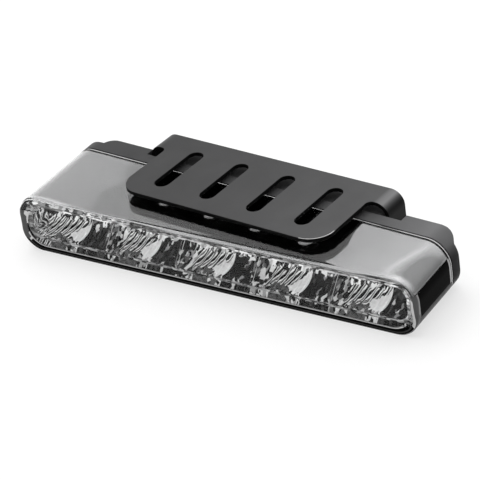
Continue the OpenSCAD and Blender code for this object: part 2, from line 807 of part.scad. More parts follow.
outer_lens();
bezel();
reflector();
led_board();
led(0);  // led_1
led(1);  // led_2
led(2);  // led_3
led(3);  // led_4
led(4);  // led_5
board_screws();
heat_pad();
lens_seal();
rear_housing();
rear_cover();
cover_seal();
cover_screws();
cable_grommet();
vent_body();
vent_cap();
driver_board();
driver_screws();
driver_inductor();
driver_capacitor(capacitor_left_x);  // driver_capacitor_left
driver_capacitor(capacitor_right_x);  // driver_capacitor_right
driver_chip();
cable_terminal();
link_header();
mounting_bracket();
insert(-1);  // insert_left
insert(1);  // insert_right
washer(-1);  // washer_left
washer(1);  // washer_right
bolt(-1);  // bolt_left
bolt(1);  // bolt_right
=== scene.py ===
"""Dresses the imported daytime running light: clear lens with its silver coat, fluted reflector cells,
folded bracket, cast housing, boards and fasteners, on a pale floor in soft light."""
import json
import math
import random

import bmesh
import bpy
from mathutils import Matrix, Vector


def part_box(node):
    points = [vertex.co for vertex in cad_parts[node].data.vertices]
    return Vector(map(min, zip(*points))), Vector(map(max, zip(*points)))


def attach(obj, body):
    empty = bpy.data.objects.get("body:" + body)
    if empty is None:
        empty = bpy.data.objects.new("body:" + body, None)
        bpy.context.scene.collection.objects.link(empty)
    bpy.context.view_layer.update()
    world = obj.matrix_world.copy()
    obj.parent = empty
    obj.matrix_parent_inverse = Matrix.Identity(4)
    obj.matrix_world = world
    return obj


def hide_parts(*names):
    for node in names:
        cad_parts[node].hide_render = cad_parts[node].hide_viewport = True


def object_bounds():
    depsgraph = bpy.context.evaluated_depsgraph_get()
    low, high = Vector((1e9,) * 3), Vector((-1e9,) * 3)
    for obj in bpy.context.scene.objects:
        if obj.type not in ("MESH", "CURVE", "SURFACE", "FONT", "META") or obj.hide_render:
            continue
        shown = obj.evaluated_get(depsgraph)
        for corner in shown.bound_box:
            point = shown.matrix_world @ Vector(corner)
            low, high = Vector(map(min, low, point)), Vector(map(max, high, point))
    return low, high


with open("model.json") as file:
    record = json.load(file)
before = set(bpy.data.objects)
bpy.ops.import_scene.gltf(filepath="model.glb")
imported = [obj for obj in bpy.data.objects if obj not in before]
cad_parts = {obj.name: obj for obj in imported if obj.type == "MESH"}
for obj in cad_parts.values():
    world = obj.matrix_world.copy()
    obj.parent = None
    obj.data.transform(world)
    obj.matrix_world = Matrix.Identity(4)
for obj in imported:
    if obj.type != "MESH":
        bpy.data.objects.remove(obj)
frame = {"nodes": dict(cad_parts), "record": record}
CAD_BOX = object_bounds()

bl_info = {
    "name": "Daytime running light",
    "version": (1, 0, 0),
    "blender": (4, 5, 0),
    "location": "3D View > Sidebar > Lamp",
    "description": "Dresses a slim clear-fronted lamp with its slotted bracket",
    "category": "Add Mesh",
}

MM = 0.001
SEAM_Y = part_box("lens_seal")[0].y
RIM_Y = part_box("lens_seal")[1].y
SEAM_MID_Y = (SEAM_Y + RIM_Y) / 2
LENS_LOW, LENS_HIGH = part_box("outer_lens")
LAMP_MID_Z = (LENS_LOW.z + LENS_HIGH.z) / 2
PLATE_LOW, PLATE_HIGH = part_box("mounting_bracket")

# Both ends of the lamp, between which painted light and shade run: (place from 0 at the left to 1 at the
# right, tone)
LEFT_END, RIGHT_END = -80 * MM, 80 * MM
# Painted reflection on the satin silver: darker beside the bracket, lighter to the right, a painted
# highlight near the right end
SILVER_PAINTED_LIGHT = ((0.0, 0.6), (0.14, 0.55), (0.165, 0.52), (0.18, 0.35), (0.3, 0.34), (0.6, 0.38),
                (0.76, 0.55), (0.85, 0.78), (0.93, 0.88), (0.965, 1.2), (0.99, 0.75), (1.0, 0.5))
# Painted highlight along the front edge of the silver, brightest towards both ends
FRONT_EDGE_HIGHLIGHTS = ((0.0, 1.5), (0.2, 1.25), (0.5, 0.95), (0.78, 0.9), (0.93, 1.1), (0.965, 1.6), (1.0, 0.6))
# Painted light on the cast housing: lighter towards the right, a painted highlight near its right end,
# painted shade on the end face
HOUSING_PAINTED_LIGHT = ((0.0, 1.0), (0.3, 1.0), (0.8, 1.45), (0.94, 2.7), (0.98, 2.0), (0.995, 0.05))
# Painted light along the bracket, painted shade to the left and on the ears and a painted highlight streak
# where the bends start: (place from its middle, tone)
BRACKET_PAINTED_LIGHT = ((-47.0 * MM, 0.74), (0.0, 0.88), (45.4 * MM, 1.25), (47.0 * MM, 2.6), (48.6 * MM, 3.6),
                 (49.7 * MM, 1.2), (50.6 * MM, 0.1))
# Painted reflections in tones that facets take at random: (share of the facets before this tone, grey)
FRAME_PAINTED_REFLECTIONS = ((0.0, 0.04), (0.16, 0.25), (0.36, 0.6), (0.56, 0.1), (0.68, 0.9), (0.84, 0.4))
LEFT_PAINTED_REFLECTIONS = ((0.0, 0.01), (0.26, 0.14), (0.4, 0.8), (0.56, 0.02), (0.72, 0.45), (0.86, 0.9))
RIGHT_PAINTED_REFLECTIONS = ((0.0, 0.01), (0.5, 0.06), (0.66, 0.012), (0.8, 0.75), (0.87, 0.02), (0.95, 0.3))
WALL_PAINTED_REFLECTIONS = ((0.0, 0.02), (0.4, 0.2), (0.6, 0.03), (0.8, 0.6))
# Painted reflections in bright and dark lines across one flute: (place in the flute, grey)
FLUTE_PAINTED_REFLECTIONS = ((0.0, 0.01), (0.2, 0.95), (0.36, 0.01), (0.44, 0.5), (0.5, 0.01), (0.6, 0.9), (0.78, 0.3),
               (0.84, 0.01))
# Painted lines on the front face, from its rounding inwards: black painted reflection, dim painted
# highlight, black painted reflection, bright painted highlight
FACE_PAINTED_LINES = (0.45 * MM, 0.8 * MM, 1.75 * MM, 2.3 * MM)
# The foil of the coat, and how far its dark end windows of painted reflection keep behind the front
# rounding
FOIL_LIFT = 0.05 * MM
FOIL = 0.03 * MM
WINDOW_FRONT = 0.7 * MM
# Rounding inside the clear lens
INNER_EDGE = 0.35 * MM
# The bezel: softening of its front edge, how its upper front edge comes to stand forward, the share
# of that which its front face follows, the place of that face, and the rings of its dished top
BEZEL_SOFT = 0.15 * MM
BROW_RISE = 5 * MM
BROW_RUN = 40 * MM
FACE_BROW = 0.8
FACE_INSET = 0.25 * MM
FACE_BACK = 0.02 * MM
DISH_SLICES = 26
# Support rows beside a rounding
BESIDE = 0.4 * MM
# The reflector: thickness of its bowls, and its gap to the bezel
BOWL_WALL = 0.5 * MM
FRAME_GAP = 0.2 * MM
# The moulding below a bowl: how far it leans forward for its height, and the rows of its faces
SKIRT_LEAN = 0.62
SKIRT_ROWS = 4
# A bowl's faces along and up, its curved rib, and its facets to the right of the rib
BOWL_ACROSS, BOWL_UP = 150, 34
RIB_BOW, RIB_WIDTH, RIB_HEIGHT = 0.9 * MM, 0.3 * MM, 0.5 * MM
FACETS_IN_CELL = 12
# Pattern of painted reflections in one cell, in millimetres: bright and dark lines, a dark patch, a bright
# drop and facets. Places along it are from its middle, or from its left wall where the name says so;
# heights are up the bowl.
LINES_FROM_WALL, LINES_ABOVE = 4.2, 1.4
FIRST_LINES_FROM_WALL = 7.0
PATCH_FROM_WALL, PATCH_TO, PATCH_BELOW = 6.5, -1.5, 2.6
DROP_FROM, DROP_HEIGHT, DROP_LEAN = -2.7, 3.4, 1.15
TOP_FACETS_ABOVE = 9.3
RIB_LINE = 0.16
# Stage, in metres: the floor, the side from which the studio is bright and where it turns dark, the key
# lamp, and the camera with its right, up and back directions
FLOOR_HALF = 2.5
SKY_LEAN = (-0.25, 0.55, 0.75)
SKY_DARK, SKY_BRIGHT = -0.05, 0.75
KEY_PLACE = Vector((-0.55, 0.25, 0.85))
KEY_AIM = Vector((0, 0, -0.01))
KEY_SIDE = 0.7
CAMERA_PLACE = Vector((0.37981677, -0.43525277, 0.33949518))
CAMERA_AXES = (Vector((0.79448703, 0.59142727, -0.13785555)),
               Vector((-0.22539926, 0.49797376, 0.83738719)),
               Vector((0.56390206, -0.63422072, 0.52894096)))


# Sizes and colours
def length(name, text, value):
    """A size in metres for a property group."""
    return bpy.props.FloatProperty(name=name, description=text, default=value, unit="LENGTH", precision=4)


def colour(name, text, value):
    """A linear colour for a property group."""
    return bpy.props.FloatVectorProperty(name=name, description=text, default=value, size=3,
                                         subtype="COLOR", min=0.0, max=1.0)


def share(name, text, value):
    """A number from 0 to 1 for a property group."""
    return bpy.props.FloatProperty(name=name, description=text, default=value, min=0.0, max=1.0,
                                   subtype="FACTOR")


def amount(name, text, value):
    """A plain number for a property group."""
    return bpy.props.FloatProperty(name=name, description=text, default=value)


def count(name, text, value):
    """A whole number for a property group."""
    return bpy.props.IntProperty(name=name, description=text, default=value, min=1)


class LensSettings(bpy.types.PropertyGroup):
    """Sizes and finish of the clear lens box, its coat and the bezel inside it"""

    width: length("Width", "Width of the lens box", 160 * MM)
    height: length("Height", "Height of the lens box", LENS_HIGH.z - LENS_LOW.z)
    corner: length("Corner radius", "Corner radius seen from the front", 8.4 * MM)
    depth: length("Depth", "Depth of the lens box along its middle", 31.3 * MM)
    sweep: bpy.props.FloatProperty(name="Sweep", description="Angle by which the right end sweeps back",
                                   default=math.radians(4.6), subtype="ANGLE")
    offset: length("Offset", "Place of the lens middle along the seam", -1.05 * MM)
    wall: length("Wall", "Wall of the clear lens at its top and ends", 0.25 * MM)
    face_wall: length("Front wall", "Wall of the clear lens at its front", 0.4 * MM)
    edge: length("Front edge", "Rounding of the front edge at its top and ends", 1.6 * MM)
    edge_low: length("Lower front edge", "Rounding of the front edge below", 0.35 * MM)
    # the lip is a painted highlight
    lip: length("Lip", "Bright lip of the coat along the seam", 0.4 * MM)
    groove: length("Groove", "Dark groove beside the lip at the seam", 0.35 * MM)
    # the dark end windows are painted reflection
    window_top: length("Window top", "Top of the dark end window above the middle", 5.4 * MM)
    window_low: length("Window bottom", "Bottom of the dark end window below the middle", 3.4 * MM)
    window_back: length("Window back", "From the seam to the dark end window", 1.6 * MM)
    bezel_inset: length("Bezel inset", "From the skin of the lens to the tube of the bezel", 2.1 * MM)
    under: length("Under the skin", "Gap between the skin and the bezel at its ends", 0.34 * MM)
    dish: length("Dish", "How far the top of the bezel dips under the bracket", 1.35 * MM)
    brow: length("Brow", "How far the upper front edge of the bezel stands before its left end", 1.3 * MM)
    dish_from: length("Dish start", "From the seam to the full depth of the dish", 12 * MM)
    dish_left: length("Dish left", "From the middle to where the dish rises to the left", 50 * MM)
    dish_slope: length("Dish slope", "Width of the slopes at both ends of the dish", 20 * MM)
    dish_right: length("Dish right", "From the middle to where the dish rises to the right", 55 * MM)
    bezel_wall: length("Bezel wall", "Wall of the bezel", 1.1 * MM)
    tint: colour("Lens tint", "Tint of the clear plastic", (0.985, 0.988, 0.99))
    refraction: amount("Refraction", "Index of the clear plastic", 1.22)
    face_refraction: amount("Face refraction", "Index of the bloomed front face", 1.14)
    silver: colour("Silver", "Satin silver of the coat", (0.34, 0.34, 0.342))
    # the gloss black is painted reflection
    black: colour("Gloss black", "End windows and lower front edge", (0.0025, 0.0025, 0.0025))


class OpticsSettings(bpy.types.PropertyGroup):
    """Sizes and finish of the reflector cells"""

    cells: count("Cells", "Number of reflector cells", 5)
    pitch: length("Cell spacing", "Spacing of the cells", 30.4 * MM)
    wall: length("Cell wall", "Wall between two cells", 1.2 * MM)
    open_h: length("Opening height", "Height of the cell openings", 12.8 * MM)
    open_corner: length("Opening corner", "Corner radius of the end cells", 4.1 * MM)
    front: length("Front", "Front plane of the reflector", -29.2 * MM)
    back: length("Back", "Back plane of the reflector", -10.2 * MM)
    bowl_inset: length("Bowl inset", "Bowl middle behind the front plane", 0.8 * MM)
    bowl_radius: length("Bowl radius", "Radius of the bowl behind each cell", 12.4 * MM)
    flutes: count("Flutes", "Flutes in a bowl", 7)
    flute_start: length("First flute", "From the cell wall to the first flute", 1.9 * MM)
    flute_pitch: length("Flute spacing", "Spacing of the flutes", 2.5 * MM)
    flute_depth: length("Flute depth", "Depth of a flute", 0.5 * MM)
    rib: length("Rib", "Place of the curved rib from the middle of a cell", 3.6 * MM)
    skirt: length("Skirt", "Height of the moulding below the bowls", 3.4 * MM)
    chip: length("Light chip", "Side of one light chip", 3.5 * MM)
    chip_t: length("Chip height", "Height of one light chip", 0.9 * MM)
    chrome: colour("Chrome", "Bright metallised faces", (0.9, 0.9, 0.9))
    phosphor: colour("Phosphor", "Deep tone of the light chips", (0.8, 0.7, 0.24))
    phosphor_pale: colour("Pale phosphor", "Pale tone of the light chips", (0.86, 0.8, 0.42))
    # painted glow of the bright facets, sent out as emission
    painted_glow: amount("Sparkle", "Light that the bright facets send back", 0.35)


class BracketSettings(bpy.types.PropertyGroup):
    """Sizes and finish of the folded bracket"""

    plate_w: length("Plate width", "Width of the slotted plate", 87 * MM)
    front: length("Front edge", "From the slots' middle to the front edge", -PLATE_LOW.y)
    corner: length("Corner radius", "Radius of the front corners", 8.6 * MM)
    sheet: length("Sheet", "Thickness of the sheet", 1.5 * MM)
    strip_w: length("Strip", "Width of the rear strip", 9.8 * MM)
    rear: length("Rear edge", "From the slots' middle to the rear edge", PLATE_HIGH.y)
    bend: length("Bend", "Outer radius of the bends", 5 * MM)
    span: length("Span", "Distance over the ears", PLATE_HIGH.x - PLATE_LOW.x)
    relief: length("Relief", "Inner radius where the ears leave the plate", 2 * MM)
    slots: count("Slots", "Number of slots", 4)
    slot_pitch: length("Slot spacing", "Spacing of the slots", 20 * MM)
    slot_w: length("Slot width", "Width of a slot", 5.9 * MM)
    slot_l: length("Slot length", "Length of a slot", 24.6 * MM)
    ear_hole: length("Ear hole", "Bolt hole in an ear", 4.3 * MM)
    edge: length("Edge", "Softening of the sheared edges", 0.16 * MM)
    paint: colour("Paint", "Satin powder coat", (0.062, 0.062, 0.063))
    gloss: share("Roughness", "Roughness of the coat", 0.36)
    # painted highlight on the softened edge at the right front corner
    painted_edge_glint: colour("Bright edge", "Softened edge at the right front corner", (0.7, 0.7, 0.7))


class FastenerSettings(bpy.types.PropertyGroup):
    """Sizes of the screws and bolts"""

    cover_head: length("Cover screw head", "Head diameter of the cover screws", 5 * MM)
    cover_head_t: length("Cover screw head height", "Head height of the cover screws", 1.6 * MM)
    cover_thread: length("Cover screw thread", "Thread diameter of the cover screws", 2.9 * MM)
    cover_l: length("Cover screw length", "Length of the cover screws under the head", 8 * MM)
    cover_socket: length("Cover screw socket", "Width of the hexagon socket", 2.2 * MM)
    board_head: length("Board screw head", "Head diameter of the board screws", 3.6 * MM)
    board_head_t: length("Board screw head height", "Head height of the board screws", 1.3 * MM)
    board_thread: length("Board screw thread", "Thread diameter of the board screws", 2 * MM)
    board_l: length("Board screw length", "Length of the board screws under the head", 3.6 * MM)
    driver_l: length("Driver screw length", "Length of the driver board's screws", 4 * MM)
    board_socket: length("Board screw socket", "Width of the socket in a board screw", 1.5 * MM)
    bolt_flats: length("Bolt flats", "Width across the flats of the bolt heads", 7 * MM)
    bolt_head_t: length("Bolt head height", "Height of the bolt heads", 2.8 * MM)
    bolt_thread: length("Bolt thread", "Thread diameter of the bolts", 4 * MM)
    steel: colour("Steel", "Zinc plated screws and washers", (0.56, 0.56, 0.57))


class HousingSettings(bpy.types.PropertyGroup):
    """Finish of the housing, the boards and the small parts"""

    coat: colour("Coat", "Satin coat of the cast housing", (0.056, 0.056, 0.057))
    rubber: colour("Rubber", "Seals and grommet", (0.008, 0.008, 0.008))
    plastic: colour("Black plastic", "Vent, header and chip", (0.02, 0.02, 0.02))
    brass: colour("Brass", "Threaded inserts", (0.6, 0.42, 0.17))
    board: colour("Board", "Solder mask of the driver board", (0.012, 0.09, 0.035))
    light_board: colour("Light board", "Solder mask of the light board", (0.78, 0.79, 0.78))
    pad: colour("Heat pad", "Pad behind the light board", (0.3, 0.32, 0.36))
    ferrite: colour("Ferrite", "Core of the inductor", (0.03, 0.03, 0.033))
    can: colour("Can", "Cans of the capacitors", (0.7, 0.7, 0.71))
    terminal: colour("Terminal", "Cable terminal", (0.75, 0.75, 0.72))
    edge: length("Edge", "Softening of cast edges", 0.35 * MM)


class StageSettings(bpy.types.PropertyGroup):
    """Floor, lamps and camera"""

    floor: colour("Floor", "Colour of the floor", (0.93, 0.93, 0.93))
    white: share("White", "Share of plain white in the floor as it is seen", 0.6)
    key: amount("Key lamp", "Power of the key lamp in watts", 3.0)
    low: amount("Dark side", "Studio light from the front", 0.2)
    high: amount("Bright side", "Studio light from behind and above", 1.45)
    lens_mm: amount("Focal length", "Camera lens in millimetres", 146.88)


# Mesh helpers
def corner_points(w, h, r, steps, support=0.0):
    """Points (x, z) round a rounded rectangle; support adds a point on each straight, beside an arc."""
    points = []
    for sx, sz, start in ((1, 1, 0), (-1, 1, 90), (-1, -1, 180), (1, -1, 270)):
        cx, cz = sx * (w / 2 - r), sz * (h / 2 - r)
        arc = []
        for k in range(steps + 1):
            a = math.radians(start + 90 * k / steps)
            arc.append((cx + r * math.cos(a), cz + r * math.sin(a)))
        if support:
            t0 = Vector((-math.sin(math.radians(start)), math.cos(math.radians(start))))
            t1 = Vector((-math.sin(math.radians(start + 90)), math.cos(math.radians(start + 90))))
            arc = [tuple(Vector(arc[0]) - t0 * support)] + arc + [tuple(Vector(arc[-1]) + t1 * support)]
        points += arc
    return points


def new_piece(name, bm, nodes=None, materials=(), angle=35.0, place=None):
    """Puts a finished bmesh in the scene as one piece that rides on the root body."""
    if place is not None:
        bm.transform(place)
    mesh = bpy.data.meshes.new(name)
    for mat in materials:
        mesh.materials.append(mat)
    bm.to_mesh(mesh)
    bm.free()
    return show(name, mesh, nodes, angle)


def show(name, mesh, nodes=None, angle=35.0):
    for poly in mesh.polygons:
        poly.use_smooth = True
    mesh.set_sharp_from_angle(angle=math.radians(angle))
    piece = bpy.data.objects.new(name, mesh)
    bpy.context.scene.collection.objects.link(piece)
    even = piece.modifiers.new("flat_faces", "WEIGHTED_NORMAL")
    even.weight = 90
    even.keep_sharp = True
    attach(piece, "root")
    if nodes:
        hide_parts(*nodes)
    return piece


def ring(bm, points):
    """Vertices for a closed ring of points."""
    return [bm.verts.new(p) for p in points]


def skin(bm, a, b, mat=0):
    """Faces between two rings of the same count."""
    n = len(a)
    for i in range(n):
        f = bm.faces.new((a[i], a[(i + 1) % n], b[(i + 1) % n], b[i]))
        f.material_index = mat


def loft(bm, rings, mats=None):
    """Faces through a row of rings."""
    for k, (a, b) in enumerate(zip(rings, rings[1:])):
        skin(bm, a, b, mats[k] if mats else 0)


def outward(bm):
    """Turns all faces of a closed form outwards."""
    bmesh.ops.recalc_face_normals(bm, faces=bm.faces)


def closed(bm, rings):
    """A closed form through a row of rings, with a face at both ends."""
    loft(bm, rings)
    bm.faces.new(rings[0])
    bm.faces.new(rings[-1])
    outward(bm)


def sheet(bm, rows):
    """Faces between rows of vertices."""
    for a, b in zip(rows, rows[1:]):
        for i in range(len(a) - 1):
            bm.faces.new((a[i], a[i + 1], b[i + 1], b[i]))


def face_away(bm, point_of):
    """Turns the faces of an open sheet away from point_of(face centre)."""
    bm.normal_update()
    for f in bm.faces:
        c = f.calc_center_median()
        if f.normal.dot(c - point_of(c)) < 0:
            f.normal_flip()


def cut(bm, co, no):
    """Adds edges where a plane crosses the mesh."""
    bmesh.ops.bisect_plane(bm, geom=bm.verts[:] + bm.edges[:] + bm.faces[:], dist=1e-8, plane_co=co,
                           plane_no=no)


def turned(bm, profile, segments=24):
    """A turned form about the Y axis; profile rows are (radius, y, hexagonal)."""
    rings = []
    for radius, y, hexagonal in profile:
        points = []
        for k in range(segments):
            a = 2 * math.pi * k / segments
            r = radius
            if hexagonal:
                r = radius / math.cos((a + math.pi / 6) % (math.pi / 3) - math.pi / 6)
            points.append((r * math.cos(a), y, r * math.sin(a)))
        rings.append(ring(bm, points))
    closed(bm, rings)


def screw(head_d, head_t, thread_d, under, socket):
    """A pan head screw along Y, head towards +Y, with a hexagon socket."""
    bm = bmesh.new()
    soft = head_t * 0.35
    rows = [(thread_d * 0.32, -under, False), (thread_d / 2, -under + thread_d * 0.2, False),
            (thread_d / 2, -0.02 * MM, False), (head_d / 2 - 0.1 * MM, 0, False),
            (head_d / 2, 0.1 * MM, False), (head_d / 2, head_t - soft, False)]
    for a in (30, 60, 90):
        t = math.radians(a)
        rows.append((head_d / 2 - soft * (1 - math.cos(t)), head_t - soft + soft * math.sin(t), False))
    rows += [(socket / 2 + 0.12 * MM, head_t, True), (socket / 2, head_t - 0.1 * MM, True),
             (socket / 2, head_t * 0.45, True)]
    turned(bm, rows)
    return bm


def lens_place(s):
    """Matrix from the lens's own directions, with y = 0 on the seam, to the row frame."""
    move = Matrix.Translation(Vector((s.offset, SEAM_MID_Y, LAMP_MID_Z)))
    return move @ Matrix.Rotation(s.sweep, 4, "Z")


def seam_depth(s, x, y_row):
    """Depth in the lens's own directions of the row frame's plane y = y_row, at x."""
    return (y_row - SEAM_MID_Y - x * math.sin(s.sweep)) / math.cos(s.sweep)


# A group of nodes that repeats one form
def grid_tree():
    """Geometry nodes that set copies of the input form on an upright grid of columns and rows."""
    tree = bpy.data.node_groups.new("repeat_on_grid", "GeometryNodeTree")
    face = tree.interface
    face.new_socket(name="Geometry", in_out="INPUT", socket_type="NodeSocketGeometry")
    keys = {}
    for label, kind in (("Columns", "NodeSocketInt"), ("Rows", "NodeSocketInt"),
                        ("Column spacing", "NodeSocketFloat"), ("Row spacing", "NodeSocketFloat"),
                        ("Material", "NodeSocketMaterial")):
        keys[label] = face.new_socket(name=label, in_out="INPUT", socket_type=kind).identifier
    face.new_socket(name="Geometry", in_out="OUTPUT", socket_type="NodeSocketGeometry")
    nodes, link = tree.nodes, tree.links.new
    start, end = nodes.new("NodeGroupInput"), nodes.new("NodeGroupOutput")
    grid = nodes.new("GeometryNodeMeshGrid")
    for label, spacing, vertices, size in (("Columns", "Column spacing", "Vertices X", "Size X"),
                                           ("Rows", "Row spacing", "Vertices Y", "Size Y")):
        less = nodes.new("ShaderNodeMath")
        less.operation = "SUBTRACT"
        less.inputs[1].default_value = 1
        link(start.outputs[label], less.inputs[0])
        span = nodes.new("ShaderNodeMath")
        span.operation = "MULTIPLY"
        link(less.outputs[0], span.inputs[0])
        link(start.outputs[spacing], span.inputs[1])
        link(span.outputs[0], grid.inputs[size])
        link(start.outputs[label], grid.inputs[vertices])
    upright = nodes.new("GeometryNodeTransform")
    upright.inputs["Rotation"].default_value = (math.pi / 2, 0, 0)
    link(grid.outputs["Mesh"], upright.inputs["Geometry"])
    copies = nodes.new("GeometryNodeInstanceOnPoints")
    link(upright.outputs["Geometry"], copies.inputs["Points"])
    link(start.outputs["Geometry"], copies.inputs["Instance"])
    real = nodes.new("GeometryNodeRealizeInstances")
    link(copies.outputs["Instances"], real.inputs["Geometry"])
    finish = nodes.new("GeometryNodeSetMaterial")
    link(real.outputs["Geometry"], finish.inputs["Geometry"])
    link(start.outputs["Material"], finish.inputs["Material"])
    link(finish.outputs["Geometry"], end.inputs[0])
    return tree, keys


# The tree, made once, and the names of its inputs
REPEAT = {}


def repeated(name, bm, columns, rows, spacing, nodes, material, place, angle=35.0):
    """One piece from copies of a form on a grid, spacing = (between columns, between rows)."""
    single = bpy.data.meshes.new(name)
    bm.to_mesh(single)
    faces = len(bm.faces)
    bm.free()
    carrier = bpy.data.objects.new(name + "_one", single)
    bpy.context.scene.collection.objects.link(carrier)
    if "repeat_on_grid" not in bpy.data.node_groups:
        REPEAT["tree"], REPEAT["keys"] = grid_tree()
    mod = carrier.modifiers.new("repeat", "NODES")
    mod.node_group = REPEAT["tree"]
    keys = REPEAT["keys"]
    mod[keys["Columns"]], mod[keys["Rows"]] = columns, rows
    mod[keys["Column spacing"]], mod[keys["Row spacing"]] = spacing
    mod[keys["Material"]] = material
    graph = bpy.context.evaluated_depsgraph_get()
    mesh = bpy.data.meshes.new_from_object(carrier.evaluated_get(graph))
    carrier.modifiers.remove(mod)
    bpy.data.objects.remove(carrier)
    if len(mesh.polygons) != faces * columns * rows:
        raise RuntimeError(f"{name}: {len(mesh.polygons)} faces, not {faces * columns * rows}")
    mesh.transform(place)
    mesh.name = name
    return show(name, mesh, nodes, angle)


# Material helpers
class Nodes:
    """Short names for the node tree of one material."""

    def __init__(self, name):
        self.mat = bpy.data.materials.new(name)
        self.mat.use_nodes = True
        self.tree = self.mat.node_tree
        self.tree.nodes.clear()
        self.out = self.add("ShaderNodeOutputMaterial")
        self.coord = self.add("ShaderNodeTexCoord").outputs["Object"]

    def add(self, kind, **values):
        """A new node with some of its settings."""
        node = self.tree.nodes.new(kind)
        for key, value in values.items():
            setattr(node, key, value)
        return node

    def link(self, a, b):
        """A link from output a to input b."""
        self.tree.links.new(a, b)

    def feed(self, socket, value):
        """Links a socket, or sets a plain value."""
        if isinstance(value, (int, float, tuple)):
            socket.default_value = value
        else:
            self.link(value, socket)

    def shader(self, base, rough, metallic=0.0, **more):
        """A Principled shader wired to the output."""
        p = self.add("ShaderNodeBsdfPrincipled")
        p.inputs["Base Color"].default_value = (*base, 1)
        p.inputs["Roughness"].default_value = rough
        p.inputs["Metallic"].default_value = metallic
        for key, value in more.items():
            p.inputs[key.replace("_", " ")].default_value = value
        self.link(p.outputs[0], self.out.inputs["Surface"])
        return p

    def noise(self, scale, detail=2.0, rough=0.5, stretch=None, source=None, distortion=0.0):
        """Noise on object coordinates, scale in cycles per metre, or on another source."""
        source = source or self.coord
        if stretch:
            m = self.add("ShaderNodeMapping")
            m.inputs["Scale"].default_value = stretch
            self.link(source, m.inputs["Vector"])
            source = m.outputs[0]
        n = self.add("ShaderNodeTexNoise")
        n.inputs["Scale"].default_value = scale
        n.inputs["Detail"].default_value = detail
        n.inputs["Roughness"].default_value = rough
        n.inputs["Distortion"].default_value = distortion
        self.link(source, n.inputs["Vector"])
        return n.outputs["Fac"]

    def facets(self, scale, source=None, stretch=(1, 1, 1)):
        """A random value from 0 to 1 for each of many angular facets."""
        m = self.add("ShaderNodeMapping")
        m.inputs["Scale"].default_value = stretch
        self.link(source or self.coord, m.inputs["Vector"])
        v = self.add("ShaderNodeTexVoronoi", feature="F1")
        v.inputs["Scale"].default_value = scale
        self.link(m.outputs[0], v.inputs["Vector"])
        parts = self.add("ShaderNodeSeparateColor")
        self.link(v.outputs["Color"], parts.inputs[0])
        return parts.outputs[0]

    def spread(self, fac, low, high, start=0.3, end=0.7, smooth=False):
        """Maps start..end of a factor to low..high."""
        r = self.add("ShaderNodeMapRange", interpolation_type="SMOOTHSTEP" if smooth else "LINEAR")
        r.inputs["From Min"].default_value = start
        r.inputs["From Max"].default_value = end
        r.inputs["To Min"].default_value = low
        r.inputs["To Max"].default_value = high
        self.link(fac, r.inputs["Value"])
        return r.outputs["Result"]

    def calc(self, operation, a, b=0.0):
        """Result of a Math node."""
        m = self.add("ShaderNodeMath", operation=operation)
        self.feed(m.inputs[0], a)
        self.feed(m.inputs[1], b)
        return m.outputs[0]

    def past(self, value, edge, soft=0.1):
        """1 where value is past edge, 0 before it."""
        return self.spread(self.calc("SUBTRACT", value, edge), 0, 1, -soft, soft, True)

    def all_of(self, *masks):
        """Where all masks hold."""
        total = masks[0]
        for m in masks[1:]:
            total = self.calc("MULTIPLY", total, m)
        return total

    def inverse(self, mask):
        """Where the mask doesn't hold."""
        return self.calc("SUBTRACT", 1.0, mask)

    def over(self, below, above, mask):
        """Lays one colour over another where the mask is 1; above may be a plain grey."""
        m = self.add("ShaderNodeMix", data_type="RGBA")
        self.link(mask, m.inputs["Factor"])
        self.link(below, m.inputs[6])
        self.feed(m.inputs[7], (above, above, above, 1) if isinstance(above, float) else above)
        return m.outputs[2]

    def ramp(self, fac, stops, steps=False):
        """Colour ramp; stops are (place, grey or colour)."""
        r = self.add("ShaderNodeValToRGB")
        r.color_ramp.interpolation = "CONSTANT" if steps else "LINEAR"
        e = r.color_ramp.elements
        while len(e) > len(stops):
            e.remove(e[-1])
        while len(e) < len(stops):
            e.new(1.0)
        for el, (at, c) in zip(e, stops):
            el.position = at
            el.color = (c, c, c, 1) if isinstance(c, float) else (*c, 1)
        self.link(fac, r.inputs["Fac"])
        return r.outputs["Color"]

    def lengthwise(self, low, high, stops, wander=0.0):
        """Ramp along the lamp, from x = low to x = high, its lines made to wander a little."""
        xyz = self.add("ShaderNodeSeparateXYZ")
        self.link(self.coord, xyz.inputs[0])
        x = xyz.outputs["X"]
        if wander:
            x = self.calc("ADD", x, self.spread(self.noise(38, 1), -wander, wander))
        return self.ramp(self.spread(x, 0, 1, low, high), stops)

    def times(self, a, b):
        """One colour times another."""
        m = self.add("ShaderNodeMix", data_type="RGBA", blend_type="MULTIPLY")
        m.inputs["Factor"].default_value = 1.0
        self.link(a, m.inputs[6])
        self.link(b, m.inputs[7])
        return m.outputs[2]

    def paint_glow(self, p, tone):
        """One tone as base colour and, through emission, as a painted glow."""
        self.link(tone, p.inputs["Base Color"])
        self.link(tone, p.inputs["Emission Color"])

    def between(self, fac, first, second):
        """Two shaders mixed into the output."""
        mix = self.add("ShaderNodeMixShader")
        self.link(fac, mix.inputs["Fac"])
        self.link(first.outputs[0], mix.inputs[1])
        self.link(second.outputs[0], mix.inputs[2])
        self.link(mix.outputs[0], self.out.inputs["Surface"])

    def bump(self, p, height, strength, distance, edge=0.0):
        """Bump from a height, over edges softened by a Bevel node where edge is given."""
        b = self.add("ShaderNodeBump")
        b.inputs["Strength"].default_value = strength
        b.inputs["Distance"].default_value = distance
        self.link(height, b.inputs["Height"])
        if edge:
            bevel = self.add("ShaderNodeBevel", samples=6)
            bevel.inputs["Radius"].default_value = edge
            self.link(bevel.outputs[0], b.inputs["Normal"])
        self.link(b.outputs[0], p.inputs["Normal"])


def grey(c, k):
    """A colour made lighter or darker by k."""
    return tuple(max(0.0, min(1.0, v * k)) for v in c)


